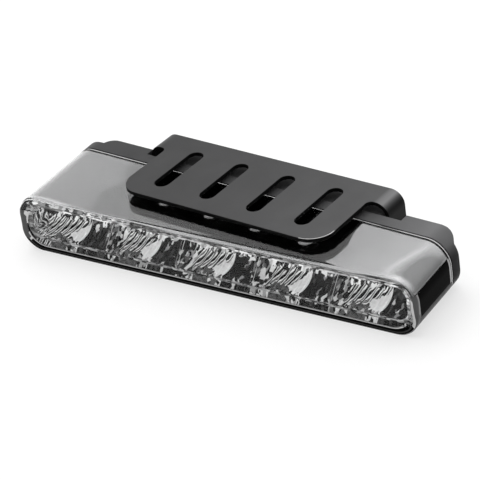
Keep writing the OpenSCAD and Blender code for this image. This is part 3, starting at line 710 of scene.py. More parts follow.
def coated(name, base, rough, grain=5200, strength=0.12, edge=0.0, swing=0.10, along=None, **more):
    """A painted, cast or moulded finish: fine grain, slight cloudiness, softened edges, and where along is
    given a tone along the lamp that is painted light and shade.
    """
    n = Nodes(name)
    p = n.shader(base, rough, **more)
    tone = n.ramp(n.noise(60, 3), ((0.3, grey(base, 1 - swing)), (0.7, grey(base, 1 + swing))))
    if along:
        tone = n.times(tone, n.lengthwise(*along))
    n.link(tone, p.inputs["Base Color"])
    n.link(n.spread(n.noise(140, 2), rough - 0.05, rough + 0.05), p.inputs["Roughness"])
    n.bump(p, n.noise(grain, 3), strength, 0.00004, edge)
    return n.mat


def metal(name, base, rough, grain=2600, stretch=None, edge=0.0, strength=0.08):
    """A plain metal with fine grain."""
    n = Nodes(name)
    p = n.shader(base, rough, metallic=1.0)
    n.link(n.ramp(n.noise(220, 3), ((0.3, grey(base, 0.86)), (0.7, grey(base, 1.06)))),
           p.inputs["Base Color"])
    n.link(n.spread(n.noise(500, 3), rough - 0.06, rough + 0.08), p.inputs["Roughness"])
    n.bump(p, n.noise(grain, 3, stretch=stretch), strength, 0.00003, edge)
    return n.mat


# Lens, coat and bezel
def clear_plastic(s, name, refraction):
    """Clear lens plastic; lamps shine through it."""
    n = Nodes(name)
    p = n.shader(s.tint, 0.0, IOR=refraction, Transmission_Weight=1.0)
    n.bump(p, n.noise(55, 1), 0.05, 0.0001)
    path = n.add("ShaderNodeLightPath")
    hole = n.add("ShaderNodeBsdfTransparent")
    hole.inputs["Color"].default_value = (0.92, 0.92, 0.92, 1)
    n.between(path.outputs["Is Shadow Ray"], p, hole)
    return n.mat


def satin_silver_painted_light(s):
    """Satin silver with painted reflection: darker beside the bracket, lighter to the right, and a painted
    highlight along the front edge.
    """
    n = Nodes("satin_silver_painted_light")
    p = n.shader(s.silver, 0.09, metallic=1.0)
    depth = n.add("ShaderNodeVectorMath", operation="DOT_PRODUCT")
    depth.inputs[1].default_value = (-math.sin(s.sweep), math.cos(s.sweep), 0)
    n.link(n.coord, depth.inputs[0])
    # a band of painted highlight along the rounded front edge, laid over the painted reflection along the
    # lamp
    edge = SEAM_MID_Y - s.depth + s.edge
    band = n.spread(depth.outputs["Value"], 1, 0, edge + 0.3 * MM, edge + 2.6 * MM, True)
    tone = n.over(n.lengthwise(LEFT_END, RIGHT_END, SILVER_PAINTED_LIGHT, 6 * MM),
                  n.lengthwise(LEFT_END, RIGHT_END, FRONT_EDGE_HIGHLIGHTS), band)
    cloud = n.ramp(n.noise(45, 2), ((0.3, grey(s.silver, 0.97)), (0.7, grey(s.silver, 1.03))))
    n.link(n.times(cloud, tone), p.inputs["Base Color"])
    n.link(n.spread(n.noise(300, 3), 0.06, 0.12), p.inputs["Roughness"])
    n.bump(p, n.noise(4200, 2), 0.006, 0.00002)
    return n.mat


def gloss_black_painted_reflection(s):
    """Gloss black of painted reflection, in the end windows and along the lower front edge."""
    n = Nodes("gloss_black_painted_reflection")
    p = n.shader(s.black, 0.12, IOR=1.05)
    n.link(n.ramp(n.noise(90, 2), ((0.3, grey(s.black, 0.7)), (0.7, grey(s.black, 1.4)))),
           p.inputs["Base Color"])
    n.bump(p, n.noise(3800, 2), 0.05, 0.00002)
    return n.mat


def painted_highlight_lip(o):
    """Painted highlights: the bright lines beside the seam and round the cells."""
    return metal("painted_highlight_lip", grey(o.chrome, 0.6), 0.16, strength=0.04)


def dim_painted_line(s):
    """Faint grey: the line in the black band, which is a painted highlight, and the lower edge of the
    ends.
    """
    return coated("dim_painted_line", grey(s.black, 20), 0.3, IOR=1.1)


def crystal(o):
    """Chrome of the frame round the cells: painted reflections as small facets and a painted glow, and
    plain grey at its left end.
    """
    n = Nodes("crystal_painted_reflections")
    p = n.shader(o.chrome, 0.08, metallic=0.5, Emission_Strength=o.painted_glow * 0.6)
    tone = n.ramp(n.facets(1150, stretch=(0.5, 1, 1)), FRAME_PAINTED_REFLECTIONS, True)
    at_left = n.lengthwise(LEFT_END, LEFT_END + 10 * MM, ((0.0, 1.0), (0.3, 1.0), (0.45, 0.0)))
    tone = n.over(tone, n.ramp(n.noise(60, 1), ((0.3, 0.22), (0.7, 0.3))), at_left)
    n.paint_glow(p, tone)
    n.bump(p, n.noise(700, 2), 0.3, 0.0002)
    return n.mat


def shell_rings(bm, s, inset, front, edge, offsets=(0.0,), steps=14, round_steps=7):
    """Rings of one skin of the lens box, from the seam (offsets in front of it) to the rounded edge.
    The rounding is sharper below."""
    w, h, r = s.width - 2 * inset, s.height - 2 * inset, s.corner - inset
    rings = []
    for back in offsets:
        rings.append(ring(bm, [(x, seam_depth(s, x, SEAM_Y) - back, z)
                               for x, z in corner_points(w, h, r, steps, BESIDE)]))
    wide = corner_points(w, h, r, steps, BESIDE)
    rings.append(ring(bm, [(x, front + edge + BESIDE, z) for x, z in wide]))
    tight = corner_points(w - 2 * edge, h - 2 * edge, r - edge, steps, BESIDE)
    sharp = min(1.0, s.edge_low / edge)
    for k in range(round_steps + 1):
        a = math.radians(90 * k / round_steps)
        row = []
        for (x0, z0), (x1, z1) in zip(wide, tight):
            soft = sharp + (1 - sharp) * eased((z0 + h * 0.35) / (h * 0.4))
            pull = soft * (1 - math.cos(a))
            y = front + edge * soft * (1 - math.sin(a))
            row.append((x0 + (x1 - x0) * pull, y, z0 + (z1 - z0) * pull))
        rings.append(ring(bm, row))
    return rings


def pulled_in(bm, last, inset, y):
    """A ring pulled in from the last one by inset, at y."""
    points = []
    for v in last:
        x, z = (c - math.copysign(min(inset, abs(c)), c) for c in (v.co.x, v.co.z))
        points.append((x, y, z))
    return ring(bm, points)


def eased(value):
    """Smooth step from 0 at 0 to 1 at 1."""
    v = max(0.0, min(1.0, value))
    return v * v * (3 - 2 * v)


def spaced_points(w, h, r, steps=14, along=70):
    """Points round a rounded rectangle with more of them along its top."""
    points = corner_points(w, h, r, steps, BESIDE)
    turn = steps + 3
    right, left = points[turn - 1], points[turn]
    row = [(right[0] + (left[0] - right[0]) * k / along, right[1]) for k in range(1, along)]
    return points[:turn] + row + points[turn:]


def forward(s, x, z):
    """How far the upper front edge of the bezel stands forward, right of its left end."""
    return s.brow * eased(z / BROW_RISE) * eased((x + s.dish_left) / BROW_RUN)


def dished_rings(bm, s, front):
    """Rings of the bezel: just under the skin at the seam and at both ends, dipping under the bracket."""
    w, h, r = s.width - 2 * s.under, s.height - 2 * s.under, s.corner - s.under
    points = spaced_points(w, h, r)
    rings = []
    for k in range(DISH_SLICES + 2):
        row = []
        for x, z in points:
            start, end = seam_depth(s, x, SEAM_Y), front - forward(s, x, z)
            y = start + (end + BEZEL_SOFT - start) * min(k, DISH_SLICES) / DISH_SLICES
            if k > DISH_SLICES:
                y = end
            side = eased((-x - s.dish_left) / s.dish_slope) + eased((x - s.dish_right) / s.dish_slope)
            dip = eased((start - y) / s.dish_from) * (1 - side)
            up = max(0.0, z / (h / 2)) ** 3
            row.append((x, y, z - (s.dish * dip + (BEZEL_SOFT if k > DISH_SLICES else 0)) * up))
        rings.append(ring(bm, row))
    inset = s.under + s.dish + FACE_INSET
    face = spaced_points(s.width - 2 * inset, s.height - 2 * inset, s.corner - inset)
    rings.append(ring(bm, [(x, front + FACE_BACK - FACE_BROW * forward(s, x, z), z) for x, z in face]))
    return rings


class LAMP_OT_lens(bpy.types.Operator):
    """Clear lens box: one shell with rounded front edge and an oblique rim at the seam"""

    bl_idname = "lamp.lens"
    bl_label = "Clear lens"

    def execute(self, context):
        s = context.scene.lamp_lens
        bm = bmesh.new()
        outer = shell_rings(bm, s, 0, -s.depth, s.edge)
        inner = shell_rings(bm, s, s.wall, -s.depth + s.face_wall, INNER_EDGE, round_steps=4)
        for rings, y in ((outer, -s.depth), (inner, -s.depth + s.face_wall)):
            loft(bm, rings)
            inner_ring = pulled_in(bm, rings[-1], BESIDE, y)
            skin(bm, rings[-1], inner_ring)
            bm.faces.new(inner_ring).material_index = 1
        skin(bm, outer[0], inner[0])
        outward(bm)
        new_piece("clear_lens", bm, ["outer_lens"],
                  [clear_plastic(s, "clear_plastic", s.refraction),
                   clear_plastic(s, "clear_face", s.face_refraction)], 40, lens_place(s))
        return {"FINISHED"}


class LAMP_OT_coat(bpy.types.Operator):
    """Coat on the ends and the bottom of the lens: silver with dark end windows of painted reflection,
    a painted highlight as a bright lip along the seam, and a black band of painted reflection with a
    bright line of painted highlight below the cells"""

    bl_idname = "lamp.coat"
    bl_label = "Silver coat"

    def execute(self, context):
        s, o = context.scene.lamp_lens, context.scene.lamp_optics
        bm = bmesh.new()
        silver, black, lip, dim, side_painted_reflection = 0, 1, 2, 3, 4
        offsets = (0.0, s.lip, s.lip + s.groove)
        rings = shell_rings(bm, s, -FOIL_LIFT, -s.depth - FOIL_LIFT, s.edge, offsets)
        loft(bm, rings, [lip, black] + [silver] * (len(rings) - 3))
        on_face = [rings[-1]]
        for inset in FACE_PAINTED_LINES:
            on_face.append(pulled_in(bm, rings[-1], inset, -s.depth - FOIL_LIFT))
        loft(bm, on_face, [black, dim, black, lip])
        face_away(bm, lambda c: Vector((max(-1, min(1, c.x / s.width * 2)) * (s.width / 2 - s.corner),
                                        max(c.y, -s.depth + s.edge), 0)))
        # edges of the dark end windows of painted reflection
        round_y = -s.depth + s.edge
        edge_y = round_y + WINDOW_FRONT
        back = (s.window_back + s.lip) / math.cos(s.sweep)
        cut(bm, (0, 0, s.window_top), (0, 0, 1))
        cut(bm, (0, 0, -s.window_low), (0, 0, 1))
        cut(bm, (0, edge_y, 0), (0, 1, 0))
        cut(bm, (0, -back, 0), (math.sin(s.sweep), math.cos(s.sweep), 0))
        bm.normal_update()
        above_low_corners = -s.height * 0.3
        for f in bm.faces:
            c, nrm = f.calc_center_median(), f.normal
            if f.material_index != silver:
                continue
            on_end = nrm.x * c.x > 0 and abs(nrm.x) > 0.5
            deep = c.x * math.sin(s.sweep) + c.y * math.cos(s.sweep) < -back * math.cos(s.sweep)
            if on_end and c.y > edge_y and deep and -s.window_low < c.z < s.window_top:
                f.material_index = black
            elif on_end and c.z <= -s.window_low:
                f.material_index = dim
            # the rounded front edge: black painted reflection below and towards the left, and painted grey
            # reflection at the ends above the lower corners
            if c.y < round_y and (nrm.z < -0.3 or (nrm.z < 0.25 and c.x < 0)):
                f.material_index = black
            if c.y < round_y and abs(c.x) > s.width / 2 - s.edge and c.z > above_low_corners:
                f.material_index = side_painted_reflection
        # the top shows the bezel through clear plastic, and so does the face above its lower corners
        clear = []
        for f in bm.faces:
            c = f.calc_center_median()
            if c.z > s.window_top and c.y < seam_depth(s, c.x, SEAM_Y) - s.lip - s.groove:
                clear.append(f)
            # beside the ends the face gets a bright painted highlight line, or the painted grey reflection
            elif f.normal.y < -0.99 and c.z > above_low_corners and f.material_index != silver:
                within = s.width / 2 - abs(c.x) - s.edge
                if c.x < 0:
                    f.material_index = lip if within > FACE_PAINTED_LINES[2] else side_painted_reflection
                elif within < FACE_PAINTED_LINES[0]:
                    f.material_index = lip
                else:
                    clear.append(f)
        bmesh.ops.delete(bm, geom=clear, context="FACES")
        # painted reflection in the gloss black and the side grey, painted highlights in the lip and the
        # dim line
        piece = new_piece("silver_coat", bm, None,
                          [satin_silver_painted_light(s), gloss_black_painted_reflection(s), painted_highlight_lip(o), dim_painted_line(s),
                           coated("side_painted_reflection", grey(s.silver, 0.26), 0.35, IOR=1.2)], 40, lens_place(s))
        sheet = piece.modifiers.new("foil", "SOLIDIFY")
        sheet.thickness = FOIL
        sheet.offset = -1
        return {"FINISHED"}


class LAMP_OT_bezel(bpy.types.Operator):
    """Dished satin silver bezel inside the lens with painted reflection along it, its front lip carrying
    the same painted reflections as the frame of the cells
    """

    bl_idname = "lamp.bezel"
    bl_label = "Bezel"

    def execute(self, context):
        s, o = context.scene.lamp_lens, context.scene.lamp_optics
        bm = bmesh.new()
        lip = 1
        outer = dished_rings(bm, s, o.front)
        inner = []
        tube = s.bezel_inset + s.bezel_wall
        for y in (None, o.front + 0.1 * MM):
            rim = spaced_points(s.width - 2 * tube, s.height - 2 * tube, s.corner - tube)
            inner.append(ring(bm, [(x, seam_depth(s, x, SEAM_Y) if y is None else y, z) for x, z in rim]))
        loft(bm, outer)
        loft(bm, inner, [lip])
        skin(bm, outer[-1], inner[1], lip)
        skin(bm, outer[0], inner[0], lip)
        bmesh.ops.delete(bm, geom=[v for v in bm.verts if not v.link_faces], context="VERTS")
        outward(bm)
        new_piece("silver_bezel", bm, ["bezel"],
                  [bpy.data.materials["satin_silver_painted_light"], crystal(o)], 40, lens_place(s))
        return {"FINISHED"}


# Reflector
def chrome(o):
    """Metallised faces: mirror bright with faint ripples."""
    n = Nodes("chrome")
    p = n.shader(o.chrome, 0.05, metallic=1.0)
    n.link(n.ramp(n.noise(400, 3), ((0.3, grey(o.chrome, 0.85)), (0.7, grey(o.chrome, 1.05)))),
           p.inputs["Base Color"])
    n.bump(p, n.noise(420, 2), 0.12, 0.0002)
    return n.mat


def fluted_painted_reflections(o):
    """Chrome of the bowls, with painted reflections in bright and dark lines, facets, a dark patch and a
    bright drop, a painted highlight along the rib and a painted glow. The attribute cell_place holds
    millimetres along the cell and up the bowl, and ten times the number of the cell."""
    n = Nodes("fluted_painted_reflections")
    p = n.shader(o.chrome, 0.08, metallic=0.5, Emission_Strength=o.painted_glow)
    place = n.add("ShaderNodeAttribute", attribute_name="cell_place").outputs["Vector"]
    sep = n.add("ShaderNodeSeparateXYZ")
    n.link(place, sep.inputs[0])
    u, s = sep.outputs["X"], sep.outputs["Y"]
    half, pitch = (o.pitch - o.wall) / 2 / MM, o.flute_pitch / MM * 0.9
    first = -half + o.flute_start / MM
    # places that drift a little, so that no edge is straight
    drift = n.spread(n.noise(0.28, 2, source=place), -0.7, 0.7)
    shift = n.spread(n.noise(0.35, 1, source=place, stretch=(1, 1, 3)), -1.1, 1.1)
    uu, ss = n.calc("ADD", u, drift), n.calc("ADD", s, shift)

    # painted reflections: thin slanted bright and dark lines along the flutes
    across = n.calc("SUBTRACT", n.calc("SUBTRACT", u, first), n.calc("MULTIPLY", s, 0.42))
    bend = n.spread(n.noise(0.45, 2, source=place, stretch=(1, 0.4, 1)), 0.0, 0.3)
    wave = n.calc("FRACT", n.calc("ADD", n.calc("DIVIDE", across, pitch), bend))
    lines = n.ramp(wave, FLUTE_PAINTED_REFLECTIONS, True)

    # two kinds of painted reflection facets, on places bent by a slow noise
    sway = n.add("ShaderNodeTexNoise")
    sway.inputs["Scale"].default_value = 0.5
    n.link(place, sway.inputs["Vector"])
    wide = n.add("ShaderNodeVectorMath", operation="SCALE")
    wide.inputs["Scale"].default_value = 1.6
    n.link(sway.outputs["Color"], wide.inputs[0])
    warp = n.add("ShaderNodeVectorMath", operation="ADD")
    n.link(place, warp.inputs[0])
    n.link(wide.outputs[0], warp.inputs[1])
    bent = warp.outputs[0]
    left_facets = n.ramp(n.facets(0.95, bent, (1, 0.55, 1)), LEFT_PAINTED_REFLECTIONS, True)
    right_facets = n.ramp(n.facets(0.8, bent, (1.2, 0.45, 1)), RIGHT_PAINTED_REFLECTIONS, True)

    # the curved rib, with the lines of painted reflection on the side before it
    bow = n.calc("MULTIPLY", n.calc("SINE", n.calc("MULTIPLY", s, 0.22)), RIB_BOW / MM)
    rib = n.calc("ADD", o.rib / MM, bow)
    rib_gap = n.calc("SUBTRACT", u, rib)
    past_rib = n.past(rib_gap, 0.0, 0.06)
    before_rib = n.inverse(past_rib)
    fan = n.all_of(n.past(uu, -half + LINES_FROM_WALL), before_rib, n.past(ss, LINES_ABOVE))
    tone = n.over(left_facets, lines, fan)
    first_cell = n.inverse(n.past(sep.outputs["Z"], 5.0, 1.0))
    tone = n.over(tone, lines, n.all_of(first_cell, n.inverse(n.past(uu, -half + FIRST_LINES_FROM_WALL))))
    # a dark patch of painted reflection low in the bowl
    low_patch = n.all_of(n.past(u, -half + PATCH_FROM_WALL), n.inverse(n.past(uu, PATCH_TO)),
                         n.inverse(n.past(ss, PATCH_BELOW)))
    tone = n.over(tone, n.ramp(n.noise(0.8, 2, source=place), ((0.3, 0.03), (0.7, 0.18))), low_patch)
    # a painted highlight shaped as a drop, widest above its middle and pointed below
    apart = n.calc("ABSOLUTE", n.calc("SUBTRACT", ss, DROP_HEIGHT))
    lean = n.calc("SUBTRACT", uu, n.calc("MULTIPLY", apart, DROP_LEAN))
    drop_tone = n.ramp(n.noise(0.9, 1, source=place), ((0.3, 0.85), (0.7, 1.0)))
    tone = n.over(tone, drop_tone, n.all_of(n.past(lean, DROP_FROM), before_rib))
    tone = n.over(tone, right_facets, past_rib)
    tone = n.over(tone, left_facets, n.past(ss, TOP_FACETS_ABOVE))
    # a bright line of painted highlight along the rib
    line = n.calc("COMPARE", rib_gap)
    line.node.inputs[2].default_value = RIB_LINE
    tone = n.over(tone, 0.95, line)
    n.paint_glow(p, tone)
    n.bump(p, n.noise(0.8, 2, source=place), 0.12, 0.0002)
    return n.mat


def wall_chrome(o):
    """Chrome of the walls between the cells: painted reflections as facets, painted highlights along both
    corners, and a painted glow.
    """
    n = Nodes("wall_painted_reflections")
    p = n.shader(o.chrome, 0.1, metallic=0.5, Emission_Strength=o.painted_glow * 0.8)
    rim = n.add("ShaderNodeAttribute", attribute_name="painted_rim_highlight").outputs["Fac"]
    sides = n.ramp(n.facets(900, stretch=(1, 0.5, 1)), WALL_PAINTED_REFLECTIONS, True)
    tone = n.over(sides, 0.95, n.spread(rim, 0, 1, 0.86, 0.92))
    n.paint_glow(p, tone)
    return n.mat


def bowl_point(o, u, turn, lift=0.0):
    """Point on the bowl at u along the cell and turn round its axis, lift above its surface."""
    r = o.bowl_radius - lift
    yc, zc = o.front + o.bowl_inset, o.open_h / 2
    return Vector((u, yc + r * math.sin(turn), zc - r * math.cos(turn)))


def flute_lift(o, u):
    """How far the flutes reach below the plain bowl at u: troughs with sharp ridges between."""
    first = -(o.pitch - o.wall) / 2 + o.flute_start
    v = (u - first) / o.flute_pitch
    k = round(v)
    if k < 0 or k > o.flutes - 1:
        return 0.0
    d = (v - k) * 2
    return -o.flute_depth * max(0.0, 1 - d * d)


def cell_sheet(bm, place_layer, o, number):
    """One cell as a sheet of small faces: flutes on the left, a curved rib, and facets on the right."""
    rng = random.Random(11 + number)
    half = (o.pitch - o.wall) / 2
    middle = (number - (o.cells - 1) / 2) * o.pitch
    across, up = BOWL_ACROSS, BOWL_UP
    facets = []
    for _ in range(FACETS_IN_CELL):
        facets.append((rng.uniform(o.rib + 1.5 * MM, half - 1 * MM), rng.uniform(0.05, 1.0),
                       rng.uniform(0.6, 1.8) * MM, rng.uniform(-1, 1), rng.uniform(-1, 1)))
    grid = []
    for j in range(up + 1):
        turn = math.pi / 2 * j / up
        row = []
        for i in range(across + 1):
            u = -half + 2 * half * i / across
            bow = o.rib + RIB_BOW * math.sin(turn * 1.6)
            d = (u - bow) / RIB_WIDTH
            lift = flute_lift(o, u) + RIB_HEIGHT * math.exp(-d * d)
            if u > bow:
                for fu, ft, fr, tu, tt in facets:
                    du, dt = (u - fu) / fr, (turn - ft) * o.bowl_radius / fr
                    if abs(du) + abs(dt) < 1:
                        lift += 0.5 * (tu * du + tt * dt) * fr * (1 - abs(du) - abs(dt))
            v = bm.verts.new(bowl_point(o, u, turn, lift) + Vector((middle, 0, 0)))
            v[place_layer] = Vector((u / MM, turn * o.bowl_radius / MM, number * 10))
            row.append(v)
        grid.append(row)
    sheet(bm, grid)
    # the moulding below the bowl, down to the front edge of the lens
    top = bowl_point(o, 0, 0.0)
    rows = [grid[0]]
    for k in range(1, SKIRT_ROWS + 1):
        down = o.skirt * k / SKIRT_ROWS
        row = []
        for i in range(across + 1):
            side = half + (o.wall / 2 if i in (0, across) else 0)
            u = side * (2 * i / across - 1)
            v = bm.verts.new((u + middle, top.y - SKIRT_LEAN * down, top.z - down))
            v[place_layer] = Vector((u / MM, -1.1 * down / MM, number * 10))
            row.append(v)
        rows.append(row)
    sheet(bm, rows)


def wall_form(o):
    """One sloped wall between two cells, with a groove along its sloped edge. The attribute made here is 1
    at both corners of that edge, where the walls get painted highlights."""
    bm = bmesh.new()
    layer = bm.verts.layers.float.new("painted_rim_highlight")
    yc, zc, r, lip = o.front + o.bowl_inset, o.open_h / 2, o.bowl_radius, 0.4 * MM
    slices = []
    for across, sink in ((-0.5, 0.15), (-0.38, 0.0), (-0.12, 0.0), (0.0, 0.22), (0.12, 0.0), (0.38, 0.0),
                         (0.5, 0.15)):
        x, d = across * o.wall, sink * MM * math.sqrt(0.5)
        low_z = -o.open_h / 2
        slices.append(ring(bm, [(x, yc + d, zc - r + lip - d), (x, yc + r - lip + d, zc - d),
                                (x, o.back, zc - d), (x, o.back, low_z), (x, yc + d, low_z)]))
        for v in slices[-1][:2]:
            v[layer] = 2 * abs(across)
    closed(bm, slices)
    return bm


def chip_form(o):
    """One light chip: a square package with a round pale face."""
    bm = bmesh.new()
    half, back = o.chip / 2, o.back
    front = back - o.chip_t
    square = corner_points(o.chip, o.chip, 0.3 * MM, 5)
    inner = corner_points(o.chip - 0.2 * MM, o.chip - 0.2 * MM, 0.25 * MM, 5)
    rings = [ring(bm, [(x, back, z) for x, z in square]),
             ring(bm, [(x, front + 0.1 * MM, z) for x, z in square]),
             ring(bm, [(x, front, z) for x, z in inner])]
    for radius, y in ((0.82, 0.0), (0.78, 0.12), (0.4, 0.14)):
        points = []
        for x, z in inner:
            a = math.atan2(z, x)
            points.append((half * radius * math.cos(a), front + y * MM, half * radius * math.sin(a)))
        rings.append(ring(bm, points))
    closed(bm, rings)
    return bm


class LAMP_OT_reflector(bpy.types.Operator):
    """Reflector moulding: five fluted bowls, the frame round them and the sloped walls between them"""

    bl_idname = "lamp.reflector"
    bl_label = "Reflector"

    def execute(self, context):
        s, o = context.scene.lamp_lens, context.scene.lamp_optics
        place = lens_place(s)
        plain = chrome(o)
        bm = bmesh.new()
        layer = bm.verts.layers.float_vector.new("cell_place")
        for number in range(o.cells):
            cell_sheet(bm, layer, o, number)
        axis_y, axis_z = o.front + o.bowl_inset, o.open_h / 2
        face_away(bm, lambda c: c * 2 - Vector((c.x, axis_y, axis_z)))
        piece = new_piece("reflector_bowls", bm, None, [fluted_painted_reflections(o)], 28, place)
        back = piece.modifiers.new("back", "SOLIDIFY")
        back.thickness = BOWL_WALL
        back.offset = -1

        bm = bmesh.new()
        tube = s.bezel_inset + s.bezel_wall + FRAME_GAP
        w, h, r = s.width - 2 * tube, s.height - 2 * tube, s.corner - tube
        area_w = o.pitch * o.cells - o.wall
        rings = []
        for points, y in ((corner_points(w, h, r, 10), o.back), (corner_points(w, h, r, 10), o.front),
                          (corner_points(area_w, o.open_h, o.open_corner, 10), o.front),
                          (corner_points(area_w, o.open_h, o.open_corner, 10), o.back)):
            rings.append(ring(bm, [(x, y, z) for x, z in points]))
        loft(bm, rings + rings[:1], [1, 0, 1, 1])
        outward(bm)
        new_piece("reflector_frame", bm, ["reflector"],
                  [bpy.data.materials["crystal_painted_reflections"], plain], 30, place)
        repeated("cell_walls", wall_form(o), o.cells - 1, 1, (o.pitch, 0), None,
                 wall_chrome(o), place, 30)
        return {"FINISHED"}


class LAMP_OT_lights(bpy.types.Operator):
    """Light chips on their board, and the screws that hold the board"""

    bl_idname = "lamp.lights"
    bl_label = "Light chips"

    def execute(self, context):
        s, o, f = context.scene.lamp_lens, context.scene.lamp_optics, context.scene.lamp_fasteners
        place = lens_place(s)
        n = Nodes("light_chip")
        p = n.shader(o.phosphor, 0.35)
        n.link(n.ramp(n.noise(900, 2), ((0.3, o.phosphor), (0.7, o.phosphor_pale))),
               p.inputs["Base Color"])
        n.bump(p, n.noise(3000, 2), 0.1, 0.00002)
        repeated("light_chips", chip_form(o), o.cells, 1, (o.pitch, 0),
                 [f"led_{k + 1}" for k in range(o.cells)], n.mat, place)
        bm = screw(f.board_head, f.board_head_t, f.board_thread, f.board_l, f.board_socket)
        bm.transform(Matrix.Translation(Vector((0, o.back, 0))) @ Matrix.Rotation(math.pi, 4, "Z"))
        repeated("board_screws_turned", bm, o.cells - 1, 1, (o.pitch, 0), ["board_screws"],
                 metal("screw_zinc", f.steel, 0.3), place)
        return {"FINISHED"}


# Bracket
def bracket_outline(b):
    """Outline of the flat blank, unrolled over both bends to the round ends of the ears."""
    rm = b.bend - b.sheet / 2
    bend_at = b.span / 2 - b.bend
    drop = -LAMP_MID_Z - b.bend
    strip_front = b.rear - b.strip_w
    half = b.plate_w / 2
    end = bend_at + rm * math.pi / 2 + drop
    ear_y, ear_r = b.rear - b.strip_w / 2, b.strip_w / 2

    def arc(cx, cy, r, a0, a1, n):
        return [(cx + r * math.cos(math.radians(a0 + (a1 - a0) * k / n)),
                 cy + r * math.sin(math.radians(a0 + (a1 - a0) * k / n))) for k in range(n + 1)]

    right = arc(half - b.corner, -b.front + b.corner, b.corner, -90, 0, 16)
    right += arc(half + b.relief, strip_front - b.relief, b.relief, 180, 90, 8)
    right += arc(end, ear_y, ear_r, -90, 90, 20)
    left = [(-x, y) for x, y in reversed(right)]
    return right + left, bend_at, rm, end, ear_y


def slot_points(x, w, l, n=12):
    """Points round one slot."""
    pts = []
    for sign, start in ((1, 0), (-1, 180)):
        for k in range(n + 1):
            a = math.radians(start + 180 * k / n)
            pts.append((x + w / 2 * math.cos(a), sign * (l - w) / 2 + w / 2 * math.sin(a)))
    return pts


def filled_plate(name, outlines, thickness, edge):
    """A sheet with holes and softened edges, its top face on z = 0, as a bmesh."""
    data = bpy.data.curves.new(name, "CURVE")
    data.dimensions = "2D"
    data.fill_mode = "BOTH"
    for pts in outlines:
        sp = data.splines.new("POLY")
        sp.points.add(len(pts) - 1)
        for p, (x, y) in zip(sp.points, pts):
            p.co = (x, y, 0, 1)
        sp.use_cyclic_u = True
    data.extrude = thickness / 2 - edge
    data.bevel_depth = edge
    data.bevel_resolution = 2
    data.offset = -edge
    ob = bpy.data.objects.new(name, data)
    bpy.context.scene.collection.objects.link(ob)
    dg = bpy.context.evaluated_depsgraph_get()
    mesh = bpy.data.meshes.new_from_object(ob.evaluated_get(dg))
    bpy.data.objects.remove(ob)
    bpy.data.curves.remove(data)
    bm = bmesh.new()
    bm.from_mesh(mesh)
    bpy.data.meshes.remove(mesh)
    bmesh.ops.remove_doubles(bm, verts=bm.verts, dist=1e-7)
    bm.transform(Matrix.Translation(Vector((0, 0, -thickness / 2))))
    return bm


def bracket_coat_painted_light(b):
    """Satin powder coat with painted light: painted shade to the left and on the ears, and a soft painted
    highlight streak where the bends start.
    """
    span = b.span / 2
    stops = ((0.0, 0.2),) + tuple(((x + span) / (2 * span), tone) for x, tone in BRACKET_PAINTED_LIGHT)
    return coated("bracket_coat_painted_light", b.paint, b.gloss, grain=3600, strength=0.16, swing=0.08,
                  along=(-span, span, stops), Specular_IOR_Level=0.06)


class LAMP_OT_bracket(bpy.types.Operator):
    """Folded bracket: one slotted blank, bent down at both ends into ears with bolt holes"""

    bl_idname = "lamp.bracket"
    bl_label = "Bracket"

    def execute(self, context):
        b = context.scene.lamp_bracket
        outline, bend_at, rm, end, ear_y = bracket_outline(b)
        holes = []
        for i in range(b.slots):
            holes.append(slot_points((i - (b.slots - 1) / 2) * b.slot_pitch, b.slot_w, b.slot_l))
        for side in (-1, 1):
            turns = [math.radians(a) for a in range(0, 360, 15)]
            holes.append([(side * end + b.ear_hole / 2 * math.cos(a), ear_y + b.ear_hole / 2 * math.sin(a))
                          for a in turns])
        bm = filled_plate("blank", [outline] + holes, b.sheet, b.edge)
        bm.normal_update()
        # painted shade makes the sheared faces dark, and a painted highlight makes the softened edge
        # bright at the right front corner
        for f in bm.faces:
            c = f.calc_center_median()
            if abs(f.normal.z) < 0.35:
                f.material_index = 1
            elif 0.35 < f.normal.z < 0.97 and c.x > b.plate_w * 0.4 and c.y < -b.front * 0.4:
                f.material_index = 2
        cuts = [bend_at + rm * math.pi / 2 * k / 12 for k in range(13)]
        for side in (-1, 1):
            for x in cuts + [bend_at - 0.4 * MM, cuts[-1] + 0.4 * MM]:
                cut(bm, (side * x, 0, 0), (1, 0, 0))
        cut(bm, (0, b.rear - b.edge - 0.4 * MM, 0), (0, 1, 0))
        for v in bm.verts:
            run = abs(v.co.x) - bend_at
            if run <= 0:
                continue
            side = math.copysign(1, v.co.x)
            t = min(run / rm, math.pi / 2)
            radius = b.bend + v.co.z
            over = max(0.0, run - rm * math.pi / 2)
            v.co.x = side * (bend_at + radius * math.sin(t))
            v.co.z = -b.bend + radius * math.cos(t) - over
        outward(bm)
        sheared = coated("sheared_edge_painted_shade", grey(b.paint, 0.1), 0.5, grain=3600, Specular_IOR_Level=0.06)
        painted_edge_glint = metal("edge_painted_highlight", b.painted_edge_glint, 0.3)
        new_piece("bracket", bm, ["mounting_bracket"], [bracket_coat_painted_light(b), sheared, painted_edge_glint],
                  32)
        return {"FINISHED"}


